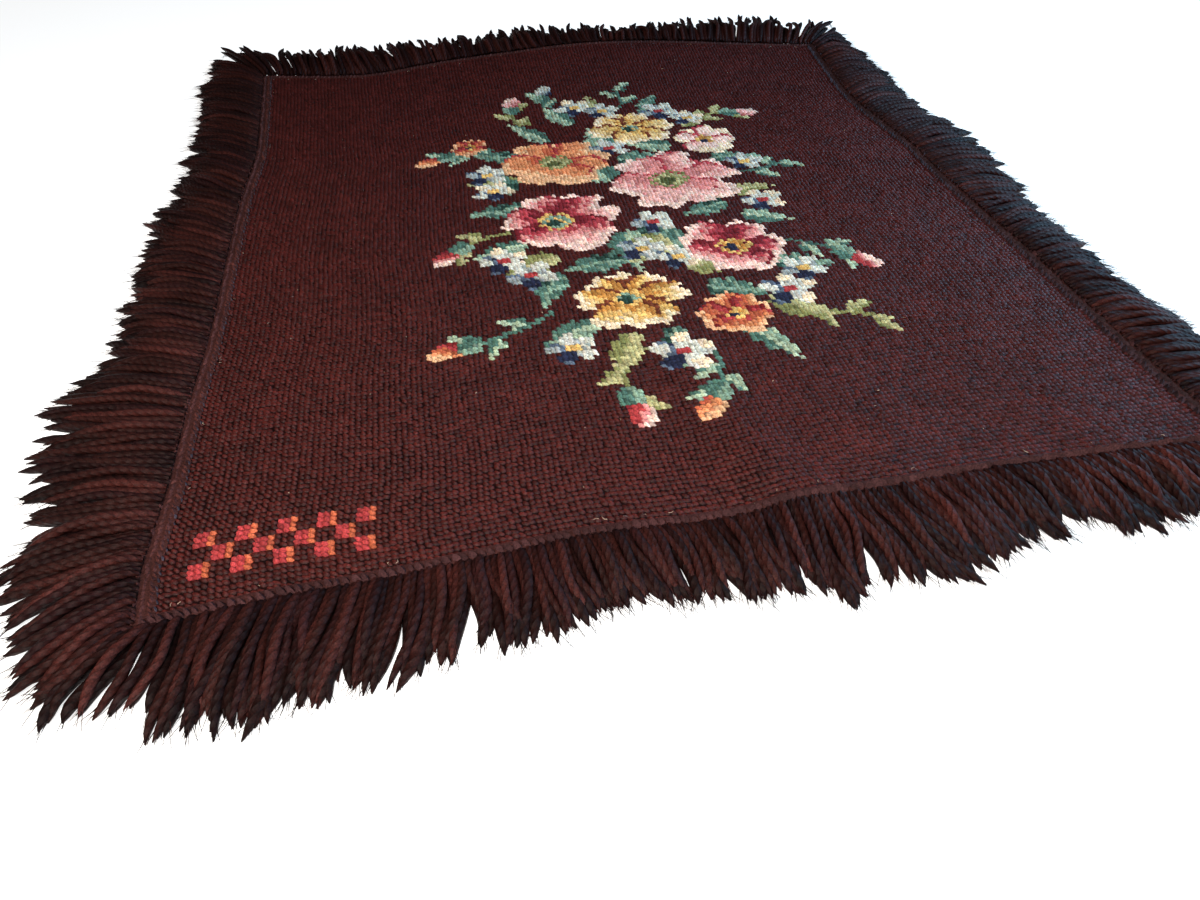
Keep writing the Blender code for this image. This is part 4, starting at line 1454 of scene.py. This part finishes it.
def make_thread_ends(chance):
    """All the bits of thread and lint, as one piece."""
    total = SEAM_ENDS + FIELD_ENDS
    near = chance.uniform(0, 1, (total, 2))
    seam = np.arange(total) < SEAM_ENDS
    which = chance.integers(0, len(END_SEAMS), total)
    for number, (direction, share) in enumerate(END_SEAMS):
        near[seam & (which == number), direction] = share
    middle = cloth_point(near[:, 0], near[:, 1], LEG_BASE + LEG_HEIGHT)
    angle = chance.uniform(0, math.pi, total)
    seam_length = chance.uniform(*SEAM_LENGTHS, total)
    length = np.where(seam, seam_length, chance.uniform(*FIELD_LENGTHS, total))
    way = np.stack((np.cos(angle), np.sin(angle), np.zeros(total)), axis=-1) * length[:, None] / 2
    bend = np.stack((-way[:, 1], way[:, 0], np.zeros(total)), axis=-1)
    bend = bend * chance.normal(0, 0.4, (total, 1))
    path = np.stack((middle - way, middle + bend, middle + way), axis=1)
    radius = END_RADIUS * chance.uniform(0.7, 1.2, (total, 1)) * np.array((0.8, 1.0, 0.6))
    faces, around, along, owner = tube_faces(total, END_STEPS, END_SIDES)
    item = add_mesh("thread_ends", tube_points(path, radius, END_SIDES).reshape(-1, 3), faces)
    uv = strip_uv(around, along, owner, total, 0.0, 1.0)
    item.data.uv_layers.new(name="OFBake").data.foreach_set("uv", uv.ravel())
    tones = np.array(END_TONES)[chance.integers(0, len(END_TONES), total)]
    colour_points(item, np.repeat(tones, END_STEPS * END_SIDES, axis=0))
    item.data.materials.append(flower_wool)
    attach(item, "root")
    return item


thread_ends = make_thread_ends(np.random.default_rng(61))

# Surroundings
# A plain pale floor, a nearly white light over the front edge, a softer warm light from the left
# and front, a cool window light that skims the wool from the right, and a dim pale surround.
CAMERA_PLACE = np.array((-0.1405, -0.6032, 0.3220))
CAMERA_AZIMUTH = -12.5
CAMERA_ELEVATION = 44.5
CAMERA_ROLL = 0.5
CAMERA_LENS = 24.0
FLOOR_GLOW = 0.80
FLOOR_REACH = 6.0
FLOOR_DROP = 0.0002


def make_floor():
    corners = [(x * FLOOR_REACH, y * FLOOR_REACH, 0) for x, y in ((-1, -1), (1, -1), (1, 1), (-1, 1))]
    mesh = bpy.data.meshes.new("floor")
    mesh.from_pydata(corners, [], [(0, 1, 2, 3)])
    item = bpy.data.objects.new("floor", mesh)
    bpy.context.scene.collection.objects.link(item)
    item.location.z = -FLOOR_DROP
    material, tree, shader = new_material("pale_floor")
    set_values(
        shader, Base_Color=(0.80, 0.80, 0.79, 1.0), Roughness=0.9,
        Emission_Color=(1.0, 1.0, 1.0, 1.0), Emission_Strength=FLOOR_GLOW,
    )
    mesh.materials.append(material)


def area_light(name, place, aim, size, power, colour, spread):
    data = bpy.data.lights.new(name, "AREA")
    data.shape = "RECTANGLE"
    data.size, data.size_y = size
    data.energy = power
    data.color = colour
    data.spread = math.radians(spread)
    item = bpy.data.objects.new(name, data)
    item.location = place
    item.rotation_euler = (Vector(aim) - Vector(place)).to_track_quat("-Z", "Y").to_euler()
    bpy.context.scene.collection.objects.link(item)


make_floor()
area_light("key_light", (-0.24, -0.80, 0.72), (-0.08, -0.28, 0.0), (0.6, 0.4), 3.3, (1.0, 0.93, 0.86), 95)
area_light("lamp_light", (-1.0, -0.9, 0.9), (-0.10, -0.20, 0.0), (0.8, 0.6), 2.4, (1.0, 0.84, 0.70), 120)
area_light("window_light", (0.95, 0.0, 0.45), (0.30, 0.0, 0.0), (0.8, 0.6), 4.6, (0.32, 0.68, 1.0), 100)
surround = bpy.data.worlds.new("surround")
surround.use_nodes = True
set_values(surround.node_tree.nodes["Background"], Color=(0.95, 0.96, 1.0, 1.0), Strength=0.05)
bpy.context.scene.world = surround
bpy.context.scene.view_settings.view_transform = "Standard"

camera_data = bpy.data.cameras.new("camera")
camera_data.lens = CAMERA_LENS
camera_data.sensor_width = 36.0
camera_data.clip_start = 0.01
camera = bpy.data.objects.new("camera", camera_data)
bpy.context.scene.collection.objects.link(camera)
azimuth, elevation = math.radians(CAMERA_AZIMUTH), math.radians(CAMERA_ELEVATION)
back = Vector((
    math.sin(azimuth) * math.cos(elevation), -math.cos(azimuth) * math.cos(elevation), math.sin(elevation)
))
camera.location = (CAMERA_PLACE[0] + CENTRING[0], CAMERA_PLACE[1] + CENTRING[1], CAMERA_PLACE[2])
turn = (-back).to_track_quat("-Z", "Y").to_matrix() @ Matrix.Rotation(math.radians(CAMERA_ROLL), 3, "Z")
camera.rotation_euler = turn.to_euler()
bpy.context.scene.camera = camera
